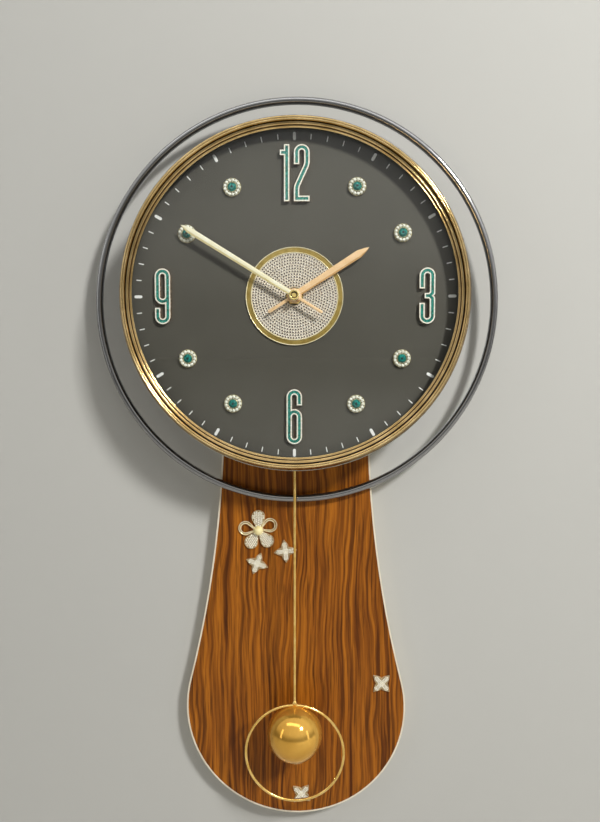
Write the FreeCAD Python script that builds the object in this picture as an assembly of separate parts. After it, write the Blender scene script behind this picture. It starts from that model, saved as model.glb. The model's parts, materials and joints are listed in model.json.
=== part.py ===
import FreeCAD, Part
import math
import os

Vector = FreeCAD.Vector

# A wall clock with a round case, a tube ring round it and a board that carries the pendulum.
# Millimetres. X is to the right, Z is up, the wall is the plane Y = 0 and the front faces -Y.
# Pieces are drawn about the hands' axis, with "out" as their distance from the wall, and are
# then moved down so that the origin is the hanging hole in the wall plane.

# Hanging and board
hang_rise = 92.0
standoff = 2.0
board_thick = 12.0
veneer_thick = 0.6
neck_half = 74.0
flare_radius = 1150.0
foot_radius = 113.5
foot_drop = 418.0
board_top_room = 7.0
trim_thick = 1.6
window_room = 9.0
window_corner = 8.0
hanger_width = 56.0
hanger_height = 26.0
hanger_hole_radius = 4.5
hanger_slot = 4.6
hanger_slot_rise = 9.0
hanger_recess = 8.0
hanger_head_room = 2.0
hanger_screw_reach = 20.0
pad_radius = 9.0
pad_side_share = 0.546
pad_drop_share = 0.326
wood_screw_radius = 1.6
wood_screw_head = 3.6
wood_screw_head_thick = 1.4
wood_screw_length = 8.0

# Tube ring
ring_room = 40.0
ring_tube = 3.7
ring_drop = 2.0
ring_collar = 2.0
ring_collar_radius = 3.4
ring_stud_radius = 2.0
ring_stud_shares = (-0.776, -0.277, 0.277, 0.776)
stud_clearance = 0.3
nut_flats = 7.0
nut_thick = 3.0
nut_washer_radius = 4.6
nut_washer_thick = 0.8
nut_pocket_radius = 6.0
nut_pocket_depth = 5.0

# Case, dial, bezel and glass
case_depth = 36.8
case_wall = 2.0
case_radius = 160.0
case_ledge = 4.0
case_ledge_thick = 1.5
case_screw_inset = 16.0
rod_slot_room = 6.0
rod_slot_gap = 4.0
dial_thick = 1.2
dial_gap = 0.3
spacer_wall = 3.0
spacer_height = 7.0
glass_thick = 3.0
glass_rise = 12.0
glass_inset = 1.0
bezel_skirt = 3.4
bezel_cover = 6.7
bezel_front = 15.0
bezel_back = 5.3
bezel_fit = 0.3
bead_radius = 2.6
bead_groove = 1.2
liner_width = 2.6
liner_height = 1.6
rim_width = 4.9
rim_thick = 1.2

# Dial furniture
mark_count = 60
mark_inset = 9.7
mark_length = 5.1
mark_width = 0.9
hour_mark_length = 7.6
hour_mark_width = 2.8
mark_thick = 0.15
medal_radius = 46.0
medal_band = 5.6
medal_thick = 2.0
mesh_thick = 1.4
numeral_height = 52.0
numeral_width = 14.6
numeral_stroke = 5.0
numeral_slant = 25.0
numeral_bend = 12.0
numeral_thick = 3.4
enamel_width = 2.6
enamel_depth = 0.8
numeral_top_inset = 8.6
numeral_side_inset = 16.6
digit_gap = 4.2
peg_radius = 0.9
jewel_inset = 31.2
jewel_angles = (30.0, 60.0, 120.0, 150.0, 210.0, 240.0, 300.0, 330.0)
jewel_radius = 8.5
jewel_base = 1.6
jewel_stone_radius = 4.0
jewel_stone_height = 2.6
crystal_count = 12
crystal_radius = 1.55
crystal_height = 1.3
crystal_orbit = 6.3

# Hands and their nut
hour_hand_out = 6.0
minute_hand_out = 8.8
hand_thick = 0.8
minute_inset = 24.5
minute_tail = 31.0
minute_width = 5.2
minute_angle = 301.6
hour_reach_share = 0.556
hour_tail = 28.8
hour_width = 7.0
hour_angle = 57.6
hand_tip = 9.0
tail_width = 2.8
hour_hub_radius = 6.8
hour_hub_depth = 1.6
minute_hub_radius = 5.0
hand_nut_radius = 4.6
hand_nut_height = 2.6
hand_nut_cup = 3.4
hand_nut_floor = 1.0

# Movement
move_top = 28.0
move_wall = 1.4
move_end_wall = 3.8
move_foot_room = 1.8
washer_thick = 1.0
washer_radius = 9.0
move_thick = 17.0
cover_thick = 1.4
bush_radius = 4.0
bush_rise = 3.6
fixing_nut_flats = 14.0
fixing_nut_thick = 2.2
hour_pipe_radius = 2.75
hour_pipe_wall = 0.6
pipe_fit = 0.06
pivot_radius = 0.6
pivot_reach = 0.35
pivot_fit = 0.05
arbor_radius = 0.9
post_radius = 0.8
plate_thick = 0.8
plate_level = 7.6
wheel_thick = 0.8
pinion_thick = 1.2
hour_level = 3.2
motion_level = 4.8
centre_level = 6.3
third_level = 9.0
seconds_level = 10.5
inter_level = 12.0
rotor_magnet_level = 13.4
rotor_magnet_thick = 1.8
rotor_magnet_radius = 2.6
rotor_gap = 0.5
pinion_teeth = 10
centre_teeth = 80
third_teeth = 75
seconds_teeth = 60
inter_teeth = 50
cannon_teeth = 12
motion_teeth = 36
hour_teeth = 48
knob_teeth = 12
centre_distance = 14.4
motion_distance = 9.6
inter_distance = 10.5
rotor_distance = 8.4
third_bearing = 180.0
motion_bearing = 40.0
knob_bearing = 0.0
inter_bearing = 90.0
rotor_bearing = 22.0
addendum_share = 0.75
dedendum_share = 1.15
tooth_share = 0.43
pressure_angle = 22.0
knob_radius = 6.5
knob_height = 5.0
knob_shaft = 1.5
cell_radius = 7.2
cell_length = 50.0
cell_tip_radius = 2.6
cell_tip = 1.4
cell_shelf_room = 1.0
cell_level = 9.6
cell_gap = 0.4
contact_thick = 0.4
contact_width = 9.0
contact_pip = 1.5
stator_thick = 1.2
stator_level = 13.7
coil_radius = 3.2
coil_length = 22.0
coil_rise = 25.3
coil_core = 1.0
board_level = 14.4
circuit_thick = 1.0
circuit_top = 14.5
circuit_bottom = 24.0

# Pendulum and its drive
pivot_room = 5.0
swing_angle = 6.0
swing_level = 7.9
lever_pin_radius = 1.0
lever_pin_fit = 0.08
lever_thick = 2.4
lever_width = 5.0
lever_drop = 27.0
lever_head = 3.6
lever_peg_radius = 1.1
lever_peg_length = 3.2
lever_slot_half = 6.5
magnet_radius = 4.6
magnet_thick = 2.0
magnet_drop = 10.8
drive_coil_radius = 7.4
drive_coil_bore = 2.2
drive_coil_gap = 0.9
rod_radius = 1.3
rod_eye_wire = 0.9
rod_eye_fit = 0.15
rod_crank_drop = 16.0
loop_radius = 49.8
loop_wire = 1.25
loop_foot_gap = 31.2
lug_radius = 2.4
lug_height = 5.0
ball_radius = 26.6
ball_wall = 1.2
ball_gap = 1.7
ball_stem_radius = 1.1

# Ornaments on the board
flower_x = -38.2
flower_ring_gap = 30.5
flower_orbit = 12.4
petal_radius = 6.8
petal_stem = 1.2
petal_thick = 1.8
petal_turns = (90.0, 239.0, 311.0)
wire_petal_turns = (167.0, 21.5)
wire_radius = 0.6
wire_spread = 1.6
wire_petal_radius = 6.0
pearl_radius = 4.8
blossom_turns = (10.0, 35.0, 45.0, 50.0)
blossom_low_x = 27.8
blossom_low_drop = 21.4
blossom_near_x = -1.9
blossom_near_drop = 33.5
foot_blossom_share = 0.816
foot_blossom_angles = (16.6, -86.1)
blossom_reach = 10.6
blossom_width = 7.0
blossom_core = 2.6

# Places worked out from the sizes above
board_back = standoff
board_front = standoff + board_thick
face_out = board_front + veneer_thick
board_top = hang_rise + hanger_height / 2 + board_top_room
pad_x = foot_radius * pad_side_share
pad_z = -foot_drop - foot_radius * pad_drop_share
ring_outer = case_radius + ring_room
ring_radius = ring_outer - ring_tube
ring_out = face_out + ring_collar + ring_tube
case_back = face_out
case_screw_x = neck_half - case_screw_inset
case_screw_z = hang_rise
dial_back = face_out + case_depth
dial_face = dial_back + dial_thick
glass_seat = dial_face + spacer_height
dial_radius = case_radius - case_wall - dial_gap
glass_radius = dial_radius - glass_inset
bezel_outer = case_radius + bezel_skirt
bezel_inner = case_radius - bezel_cover
rim_radius = case_radius + rim_width
mark_radius = dial_radius - mark_inset
numeral_top = mark_radius - numeral_top_inset
numeral_side = mark_radius - numeral_side_inset
jewel_orbit = mark_radius - jewel_inset
minute_reach = mark_radius - minute_inset
hour_reach = mark_radius * hour_reach_share
cell_drop = circuit_bottom + cell_shelf_room + move_wall + cell_gap + cell_radius
pivot_drop = cell_drop + cell_radius + cell_gap + move_wall + pivot_room
move_half = cell_length / 2 + cell_tip + contact_thick + cell_gap + move_end_wall
move_bottom = pivot_drop + magnet_drop + drive_coil_radius + move_foot_room
move_front = dial_back - washer_thick
move_back = move_front - move_thick
cover_back = move_back - cover_thick
window_half = move_half + window_room
window_top = move_top + window_room
window_bottom = move_bottom + window_room
swing_out = dial_back - swing_level
rod_slot_half = (case_radius - pivot_drop) * math.tan(math.radians(swing_angle)) + rod_radius + rod_slot_room
loop_drop = foot_drop + loop_foot_gap
ball_drop = loop_drop - loop_radius + loop_wire * 2 + ball_gap + ball_radius
flower_drop = ring_outer + ring_drop + flower_ring_gap
pinion_lead = (pinion_thick - wheel_thick) / 2
bush_bore = hour_pipe_radius + pipe_fit
minute_arbor_radius = hour_pipe_radius - hour_pipe_wall - pipe_fit
nut_back = dial_face + minute_hand_out + hand_thick
overrun = board_thick


def disc(radius, near, far, x=0, z=0):
    """A round bar along the hands' axis direction, from one distance off the wall to another."""
    return Part.makeCylinder(radius, far - near, Vector(x, -near, z), Vector(0, -1, 0))


def sleeve(outer, inner, near, far, x=0, z=0):
    bore = disc(inner, near - overrun, far + overrun, x, z)
    return disc(outer, near, far, x, z).cut(bore)


def slab(left, right, low, high, near, far):
    return Part.makeBox(right - left, far - near, high - low, Vector(left, -far, low))


def lying(radius, left, right, out, z):
    """A round bar along X."""
    return Part.makeCylinder(radius, right - left, Vector(left, -out, z), Vector(1, 0, 0))


def standing(radius, low, high, out, x=0):
    """A round bar along Z."""
    return Part.makeCylinder(radius, high - low, Vector(x, -out, low), Vector(0, 0, 1))


def hoop(major, minor, out, x, z):
    """A round wire bent to a circle that faces the front."""
    return Part.makeTorus(major, minor, Vector(x, -out, z), Vector(0, 1, 0))


def prism(points, near, far):
    """A flat outline of (x, z) corners carried from one distance off the wall to another."""
    corners = [Vector(x, -near, z) for x, z in points]
    face = Part.Face(Part.makePolygon(corners + corners[:1]))
    return face.extrude(Vector(0, near - far, 0))


def turned(profile):
    """A ring or dome turned about the hands' axis from (radius, out) corners."""
    corners = [Vector(radius, -out, 0) for radius, out in profile]
    face = Part.Face(Part.makePolygon(corners + corners[:1]))
    return face.revolve(Vector(0, 0, 0), Vector(0, 1, 0), 360)


def turned_edges(edges):
    face = Part.Face(Part.Wire(edges))
    return face.revolve(Vector(0, 0, 0), Vector(0, 1, 0), 360)


def joined(shapes):
    first, rest = shapes[0], shapes[1:]
    return first.fuse(rest).removeSplitter() if rest else first


def polar(radius, degrees):
    return radius * math.cos(math.radians(degrees)), radius * math.sin(math.radians(degrees))


def clock_place(radius, degrees):
    """A point by its angle clockwise from twelve."""
    return radius * math.sin(math.radians(degrees)), radius * math.cos(math.radians(degrees))


def spun(shape, degrees, x=0, z=0):
    """A copy turned counter-clockwise, as seen from the front, about an axis through (x, z)."""
    copy = shape.copy()
    copy.rotate(Vector(x, 0, z), Vector(0, -1, 0), degrees)
    return copy


def hexagon(flats, near, far, x=0, z=0):
    corner = flats / math.sqrt(3)
    places = [polar(corner, 60 * k) for k in range(6)]
    return prism([(x + px, z + pz) for px, pz in places], near, far)


def save(name, shapes):
    """Writes one node, moved so that the hanging hole is the origin."""
    group = shapes if isinstance(shapes, list) else [shapes]
    solids = [solid for shape in group for solid in shape.Solids]
    whole = solids[0] if len(solids) == 1 else Part.makeCompound(solids)
    whole = whole.copy()
    whole.translate(Vector(0, 0, -hang_rise))
    whole.exportStep("parts/" + name + ".step")


# Board, veneer, trim, hanger and pads
def board_outline(inset):
    """The pear-shaped outline: neck, two long flares and a round foot, drawn inside by inset."""
    neck = neck_half - inset
    flare = flare_radius + inset
    foot = foot_radius - inset
    top = board_top - inset
    flare_x = neck + flare
    flare_rise = math.sqrt((flare + foot) ** 2 - flare_x ** 2)
    flare_z = flare_rise - foot_drop
    join_x = flare_x * foot / (flare + foot)
    join_z = flare_rise * foot / (flare + foot) - foot_drop
    bend = math.atan2(flare_rise, flare_x) / 2
    bend_x = flare_x - flare * math.cos(bend)
    bend_z = flare_z - flare * math.sin(bend)

    def right(x, z):
        return Vector(x, 0, z)

    def left(x, z):
        return Vector(-x, 0, z)

    return [
        Part.LineSegment(left(neck, top), right(neck, top)).toShape(),
        Part.LineSegment(right(neck, top), right(neck, flare_z)).toShape(),
        Part.Arc(right(neck, flare_z), right(bend_x, bend_z), right(join_x, join_z)).toShape(),
        Part.Arc(right(join_x, join_z), right(0, -foot_drop - foot), left(join_x, join_z)).toShape(),
        Part.Arc(left(join_x, join_z), left(bend_x, bend_z), left(neck, flare_z)).toShape(),
        Part.LineSegment(left(neck, flare_z), left(neck, top)).toShape(),
    ]


def board_plate(inset, near, far):
    face = Part.Face(Part.Wire(board_outline(inset)))
    plate = face.extrude(Vector(0, near - far, 0))
    plate.translate(Vector(0, -near, 0))
    return plate


def window_cutter():
    """The hole in the board and the case's back, through which the movement is reached."""
    block = slab(-window_half, window_half, -window_bottom, window_top, -overrun, case_back + overrun)
    upright = [e for e in block.Edges if abs(e.tangentAt(e.FirstParameter).y) > math.cos(math.radians(1))]
    return block.makeFillet(window_corner, upright)


def stud_places():
    for share in ring_stud_shares:
        x = neck_half * share
        yield x, -math.sqrt(ring_radius ** 2 - x ** 2) - ring_drop


def case_screw_places():
    for x in (-case_screw_x, case_screw_x):
        for z in (-case_screw_z, case_screw_z):
            yield x, z


def hanger_screw_places():
    for side in (-hanger_screw_reach, hanger_screw_reach):
        yield side, hang_rise


def make_board():
    core = board_plate(trim_thick, board_back, board_front).cut(window_cutter())
    skin = board_plate(trim_thick, board_front, face_out).cut(window_cutter())
    for x, z in stud_places():
        hole = disc(ring_stud_radius + stud_clearance, 0, face_out + overrun, x, z)
        pocket = disc(nut_pocket_radius, 0, board_back + nut_pocket_depth, x, z)
        core = core.cut(hole).cut(pocket)
        skin = skin.cut(hole)
    for x, z in case_screw_places():
        hole = disc(wood_screw_radius, case_back - wood_screw_length, face_out + overrun, x, z)
        core = core.cut(hole)
        skin = skin.cut(hole)
    for x, z in hanger_screw_places():
        core = core.cut(disc(wood_screw_radius, 0, board_back + wood_screw_length, x, z))
    room_half = hanger_hole_radius + hanger_head_room
    core = core.cut(slab(-room_half, room_half, hang_rise - room_half,
                         hang_rise + hanger_slot_rise + room_half, board_back, board_back + hanger_recess))
    save("back_board", core)
    save("walnut_veneer", skin)
    save("edge_trim", board_plate(0, board_back, face_out).cut(
        board_plate(trim_thick, 0, face_out + overrun)))


def wood_screw(x, z, seat, inward):
    """A round-head screw; seat is under its head and inward is -1 towards the wall, 1 away."""
    far = seat + inward * wood_screw_length
    near_head = seat - inward * wood_screw_head_thick
    shank = disc(wood_screw_radius, min(seat, far), max(seat, far), x, z)
    head = disc(wood_screw_head, min(seat, near_head), max(seat, near_head), x, z)
    return joined([shank, head])


def make_hanger():
    high = hang_rise + hanger_height / 2
    low = hang_rise - hanger_height / 2
    plate = slab(-hanger_width / 2, hanger_width / 2, low, high, 0, board_back)
    plate = plate.cut(disc(hanger_hole_radius, -overrun, overrun, 0, hang_rise))
    plate = plate.cut(slab(-hanger_slot / 2, hanger_slot / 2, hang_rise, hang_rise + hanger_slot_rise,
                           -overrun, overrun))
    screws = []
    for x, z in hanger_screw_places():
        plate = plate.cut(disc(wood_screw_radius, 0, overrun, x, z))
        plate = plate.cut(disc(wood_screw_head, 0, wood_screw_head_thick, x, z))
        screws.append(wood_screw(x, z, wood_screw_head_thick, 1))
    save("hanger_plate", plate)
    case_seat = case_back + case_wall
    for x, z in case_screw_places():
        screws.append(wood_screw(x, z, case_seat, -1))
    save("wood_screws", screws)
    save("wall_pads", [disc(pad_radius, 0, board_back, side * pad_x, pad_z) for side in (-1, 1)])


# Tube ring with its welded studs
def make_ring():
    ring = hoop(ring_radius, ring_tube, ring_out, 0, -ring_drop)
    nuts = []
    stud_end = board_back + nut_pocket_depth - nut_washer_thick - nut_thick
    for x, z in stud_places():
        collar = disc(ring_collar_radius, face_out, ring_out, x, z)
        stud = disc(ring_stud_radius, stud_end, ring_out, x, z)
        ring = ring.fuse([collar, stud])
        seat = board_back + nut_pocket_depth
        washer = sleeve(nut_washer_radius, ring_stud_radius, seat - nut_washer_thick, seat, x, z)
        nut = hexagon(nut_flats, seat - nut_washer_thick - nut_thick, seat - nut_washer_thick, x, z)
        nuts.append(washer)
        nuts.append(nut.cut(disc(ring_stud_radius, 0, face_out, x, z)))
    save("outer_ring", ring)
    save("ring_nuts", nuts)


# Case, rim, bezel, glass and dial
def make_case():
    seat = case_back + case_wall
    plate = disc(case_radius, case_back, seat)
    plate = plate.cut(window_cutter())
    for x, z in case_screw_places():
        plate = plate.cut(disc(wood_screw_radius, 0, seat, x, z))
    save("case_plate", plate)
    wall = disc(case_radius, seat, dial_face)
    wall = wall.cut(disc(case_radius - case_wall - case_ledge, seat, dial_face + overrun))
    wall = wall.cut(disc(case_radius - case_wall, seat, dial_back - case_ledge_thick))
    wall = wall.cut(disc(case_radius - case_wall, dial_back, dial_face + overrun))
    wall = wall.cut(slab(-rod_slot_half, rod_slot_half, -case_radius - overrun, -case_radius + case_ledge * 2,
                         swing_out - rod_slot_gap, dial_face + overrun))
    save("case_wall", wall)
    rim_out = dial_face - bezel_back
    save("case_rim", sleeve(rim_radius, case_radius + bezel_fit, rim_out - rim_thick, rim_out))


def bezel_edges():
    """The bezel's section: skirt, outer bead, groove, inner bead and the lip over the glass."""
    skirt_in = case_radius + bezel_fit
    back = dial_face - bezel_back
    front = dial_face + bezel_front
    under = glass_seat + glass_thick + bezel_fit
    bead_top = front
    bead_mid = bezel_outer - bead_radius
    bead_side = front - bead_radius
    groove = front - bead_groove
    inner_mid = bezel_inner + bead_radius
    shoulder = dial_face + bezel_fit
    corner = dial_radius + bezel_fit
    diagonal = bead_radius * math.sqrt(2) / 2

    def at(radius, out):
        return Vector(radius, -out, 0)

    def line(start, end):
        return Part.LineSegment(at(*start), at(*end)).toShape()

    def bead(start, middle, end):
        return Part.Arc(at(*start), at(*middle), at(*end)).toShape()

    outer_in = (bead_mid - bead_radius, bead_side)
    inner_out = (inner_mid + bead_radius, bead_side - bead_groove)
    inner_low = (bezel_inner, bead_side - bead_groove)
    return [
        line((skirt_in, back), (bezel_outer, back)),
        line((bezel_outer, back), (bezel_outer, bead_side)),
        bead((bezel_outer, bead_side), (bead_mid + diagonal, bead_side + diagonal), (bead_mid, bead_top)),
        bead((bead_mid, bead_top), (bead_mid - diagonal, bead_side + diagonal), outer_in),
        line(outer_in, inner_out),
        bead(inner_out, (inner_mid, groove), inner_low),
        line(inner_low, (bezel_inner, under)),
        line((bezel_inner, under), (corner, under)),
        line((corner, under), (corner, shoulder)),
        line((corner, shoulder), (skirt_in, shoulder)),
        line((skirt_in, shoulder), (skirt_in, back)),
    ]


def dome(edge, near, rise):
    """The rounded front of a glass: a disc whose face bulges by rise over its radius."""
    crown = (edge ** 2 + rise ** 2) / (2 * rise)
    ball = Part.makeSphere(crown, Vector(0, crown - near - rise, 0))
    return ball.common(disc(edge, near, near + rise + overrun))


def make_glass():
    dome_edge = bezel_inner - liner_width - bezel_fit
    outer = joined([disc(glass_radius, glass_seat, glass_seat + glass_thick),
                    dome(dome_edge, glass_seat + glass_thick, glass_rise)])
    hollow = dome(dome_edge - glass_thick, glass_seat, glass_rise)
    save("glass", outer.cut(hollow))


def make_bezel():
    save("bezel", turned_edges(bezel_edges()))
    liner_out = glass_seat + glass_thick + bezel_fit
    seat = bezel_inner
    save("bezel_liner", sleeve(seat, seat - liner_width, liner_out, liner_out + liner_height))
    save("spacer_ring", sleeve(dial_radius, dial_radius - spacer_wall, dial_face, glass_seat))


def make_dial():
    plate = disc(dial_radius, dial_back, dial_face)
    plate = plate.cut(disc(bush_radius + bezel_fit, dial_back - overrun, dial_face + overrun))
    for x, z in all_pegs():
        plate = plate.cut(disc(peg_radius, dial_back - overrun, dial_face + overrun, x, z))
    save("dial_plate", plate)
    marks = []
    for k in range(mark_count):
        is_hour = k % 5 == 0
        length = hour_mark_length if is_hour else mark_length
        width = hour_mark_width if is_hour else mark_width
        low = mark_radius - (length - width) / 2
        high = mark_radius + (length - width) / 2
        top = dial_face + mark_thick
        bar = slab(-width / 2, width / 2, low, high, dial_face, top)
        ends = [disc(width / 2, dial_face, top, 0, low), disc(width / 2, dial_face, top, 0, high)]
        marks.append(spun(joined([bar] + ends), 360 * k / mark_count))
    save("minute_marks", marks)


def make_medallion():
    inner = medal_radius - medal_band
    groove = medal_band / 4
    hole = fixing_nut_flats / math.sqrt(3) + bezel_fit
    lip = medal_thick - mesh_thick
    ring = turned([
        (inner, dial_face), (medal_radius, dial_face), (medal_radius, dial_face + mesh_thick),
        (medal_radius - groove, dial_face + medal_thick), (medal_radius - groove * 2, dial_face + mesh_thick),
        (medal_radius - groove * 3, dial_face + mesh_thick), (inner, dial_face + mesh_thick + lip),
    ])
    save("medallion_ring", ring)
    save("medallion_mesh", sleeve(inner, hole, dial_face, dial_face + mesh_thick))


# Raised numerals, drawn as strokes along a centre line
def stroke_line(start, end, width, near, far, cap_start=0, cap_end=0):
    """A straight stroke; a cap carries its square end past the centre line's end."""
    dx, dz = end[0] - start[0], end[1] - start[1]
    bar = slab(-cap_start, math.hypot(dx, dz) + cap_end, -width / 2, width / 2, near, far)
    bar = spun(bar, math.degrees(math.atan2(dz, dx)))
    bar.translate(Vector(start[0], 0, start[1]))
    return bar


def stroke_arc(centre, radius, start, end, width, near, far):
    """A bent stroke from one angle to another, counter-clockwise."""
    middle = (start + end) / 2

    def at(size, degrees):
        x, z = polar(size, degrees)
        return Vector(centre[0] + x, -near, centre[1] + z)

    big, small = radius + width / 2, radius - width / 2
    edges = [
        Part.Arc(at(big, start), at(big, middle), at(big, end)).toShape(),
        Part.LineSegment(at(big, end), at(small, end)).toShape(),
        Part.Arc(at(small, end), at(small, middle), at(small, start)).toShape(),
        Part.LineSegment(at(small, start), at(big, start)).toShape(),
    ]
    return Part.Face(Part.Wire(edges)).extrude(Vector(0, near - far, 0))


def digit_strokes(digit, width, near, far):
    """Pieces of one digit about its own centre, with the centre line half a stroke inside."""
    bow = (numeral_width - numeral_stroke) / 2
    tall = (numeral_height - numeral_stroke) / 2
    straight = tall - bow
    hook_shares = {"2": 0.55, "3": 0.49, "6": 0.71, "9": 0.71}
    flag_x_share = 0.8
    flag_z_share = 0.79
    slant_top_share = 0.56
    hook = straight * hook_shares.get(digit, 0)
    cap = width / 2
    shape = []

    def line(start, end, cap_start=0, cap_end=0):
        shape.append(stroke_line(start, end, width, near, far, cap_start, cap_end))

    def arc(centre, start, end, radius=bow):
        shape.append(stroke_arc(centre, radius, start, end, width, near, far))

    if digit == "1":
        line((0, -tall), (0, tall), cap, cap)
        line((-bow * flag_x_share, tall * flag_z_share), (0, tall * flag_z_share), cap)
    if digit == "2":
        lean = math.radians(numeral_slant)
        slant_top = straight * slant_top_share
        bend_side = numeral_bend * (1 - math.cos(lean))
        bend_drop = numeral_bend * math.sin(lean)
        slant_drop = (bow - bend_side) * 2 / math.tan(lean)
        slant_low = slant_top - bend_drop * 2 - slant_drop
        line((-bow, hook), (-bow, straight), cap)
        arc((0, straight), 0, 180)
        line((bow, straight), (bow, slant_top))
        arc((bow - numeral_bend, slant_top), -numeral_slant, 0, numeral_bend)
        line((bow - bend_side, slant_top - bend_drop), (bend_side - bow, slant_low + bend_drop))
        arc((numeral_bend - bow, slant_low), 180 - numeral_slant, 180, numeral_bend)
        line((-bow, slant_low), (-bow, -tall), 0, cap)
        line((-bow, -tall), (bow, -tall), cap, cap)
    if digit == "3":
        pinch = numeral_stroke / 2
        for side in (1, -1):
            line((-bow, side * hook), (-bow, side * straight), cap)
            line((bow, side * pinch), (bow, side * straight))
            line((bow, side * pinch), (bow - pinch, 0))
            shape.append(disc(cap, near, far, bow, side * pinch))
        shape.append(disc(cap, near, far, bow - pinch, 0))
        line((0, 0), (bow - pinch, 0), cap)
        arc((0, straight), 0, 180)
        arc((0, -straight), 180, 360)
    if digit in ("6", "9"):
        line((bow, hook), (bow, straight), cap)
        arc((0, straight), 0, 180)
        line((-bow, -straight), (-bow, straight))
        arc((0, -straight), 180, 360)
        line((bow, -straight), (bow, 0))
        arc((0, 0), 0, 180)
    solid = joined(shape)
    return spun(solid, 180) if digit == "9" else solid


def digit_places():
    """Node, digit and place of each numeral on the dial."""
    one_x = -digit_gap / 2 - numeral_stroke / 2
    two_x = one_x + numeral_stroke / 2 + digit_gap + numeral_width / 2
    high = numeral_top - numeral_height / 2
    side = numeral_side - numeral_width / 2
    return [
        ("numeral_12", "1", one_x - numeral_stroke / 2, high),
        ("numeral_12", "2", two_x - numeral_stroke / 2, high),
        ("numeral_3", "3", side, 0),
        ("numeral_6", "6", 0, -high),
        ("numeral_9", "9", -side, 0),
    ]


def numeral_pegs(digit, x, z):
    """Where a numeral's two pegs go through the dial."""
    tall = (numeral_height - numeral_stroke) / 2
    bow = (numeral_width - numeral_stroke) / 2
    foot = {"1": 0, "2": -bow}.get(digit, 0)
    return [(x, z + tall), (x + foot, z - tall)]


def all_pegs():
    pegs = []
    for node, digit, x, z in digit_places():
        pegs.extend(numeral_pegs(digit, x, z))
    pegs.extend(clock_place(jewel_orbit, angle) for angle in jewel_angles)
    return pegs


def peg(x, z):
    return disc(peg_radius, dial_back, dial_face, x, z)


def make_numerals():
    bodies = {}
    enamel = []
    top = dial_face + numeral_thick
    for node, digit, x, z in digit_places():
        body = digit_strokes(digit, numeral_stroke, dial_face, top)
        channel = digit_strokes(digit, enamel_width, top - enamel_depth, top + enamel_depth)
        filling = digit_strokes(digit, enamel_width, top - enamel_depth, top - enamel_depth / 4)
        body = body.cut(channel)
        body.translate(Vector(x, 0, z))
        filling.translate(Vector(x, 0, z))
        body = body.fuse([peg(px, pz) for px, pz in numeral_pegs(digit, x, z)])
        bodies.setdefault(node, []).append(body)
        enamel.append(filling)
    for node, group in bodies.items():
        save(node, group)
    save("numeral_enamel", enamel)


def cut_stone(radius, height, sides, near, x, z):
    """A faceted stone: a girdle that slopes in to a flat table."""
    table_share = 0.6
    girdle_share = 0.35
    girdle = near + height * girdle_share

    def ring(size, out):
        places = [polar(size, 360 * (k + 0.5) / sides) for k in range(sides)]
        corners = [Vector(x + px, -out, z + pz) for px, pz in places]
        return Part.makePolygon(corners + corners[:1])

    low = Part.makeLoft([ring(radius, near), ring(radius, girdle)], True, True)
    high = Part.makeLoft([ring(radius, girdle), ring(radius * table_share, near + height)], True, True)
    return joined([low, high])


def make_jewels():
    settings = []
    stones = []
    crystals = []
    seat = dial_face + jewel_base
    wall = (jewel_radius - crystal_orbit - crystal_radius) / 2
    for angle in jewel_angles:
        x, z = clock_place(jewel_orbit, angle)
        cup = disc(jewel_radius, dial_face, seat, x, z)
        collar = sleeve(jewel_stone_radius + wall, jewel_stone_radius, seat, seat + crystal_height, x, z)
        settings.append(joined([cup, collar, peg(x, z)]))
        stones.append(cut_stone(jewel_stone_radius - wall / 2, jewel_stone_height, 8, seat, x, z))
        for k in range(crystal_count):
            cx, cz = polar(crystal_orbit + wall, 360 * k / crystal_count)
            crystals.append(cut_stone(crystal_radius, crystal_height, 6, seat, x + cx, z + cz))
    save("jewel_settings", settings)
    save("jewel_stones", stones)
    save("jewel_crystals", crystals)


# Hands
def hand_blade(reach, width, tail, level, hub, hub_depth, bore, angle):
    """A straight hand, pointing at its clock angle, with a slim tail and a hub that reaches back."""
    waist_share = 0.8
    tail_end_share = 0.7
    root = width * waist_share / 2
    far = level + hand_thick
    shoulder = reach - hand_tip
    tail_root, tail_end = tail_width / 2, tail_width * tail_end_share / 2
    blade = prism([(-root, 0), (-width / 2, shoulder), (0, reach), (width / 2, shoulder), (root, 0)],
                  level, far)
    stub = prism([(-tail_root, 0), (-tail_end, -tail), (tail_end, -tail), (tail_root, 0)], level, far)
    hand = joined([blade, stub, disc(hub, level - hub_depth, far)])
    hand = hand.cut(disc(bore, level - overrun, far + overrun))
    return spun(hand, -angle)


def make_hands():
    hour_level_out = dial_face + hour_hand_out
    minute_level_out = dial_face + minute_hand_out
    save("hour_hand", hand_blade(hour_reach, hour_width, hour_tail, hour_level_out,
                                 hour_hub_radius, hour_hub_depth, hour_pipe_radius, hour_angle))
    save("minute_hand", hand_blade(minute_reach, minute_width, minute_tail, minute_level_out,
                                   minute_hub_radius, 0, minute_arbor_radius, minute_angle))
    nut_top = nut_back + hand_nut_height
    nut = sleeve(hand_nut_radius, minute_arbor_radius, nut_back, nut_top)
    save("hand_nut", nut.cut(disc(hand_nut_cup, nut_back + hand_nut_floor, nut_top + overrun)))


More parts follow.
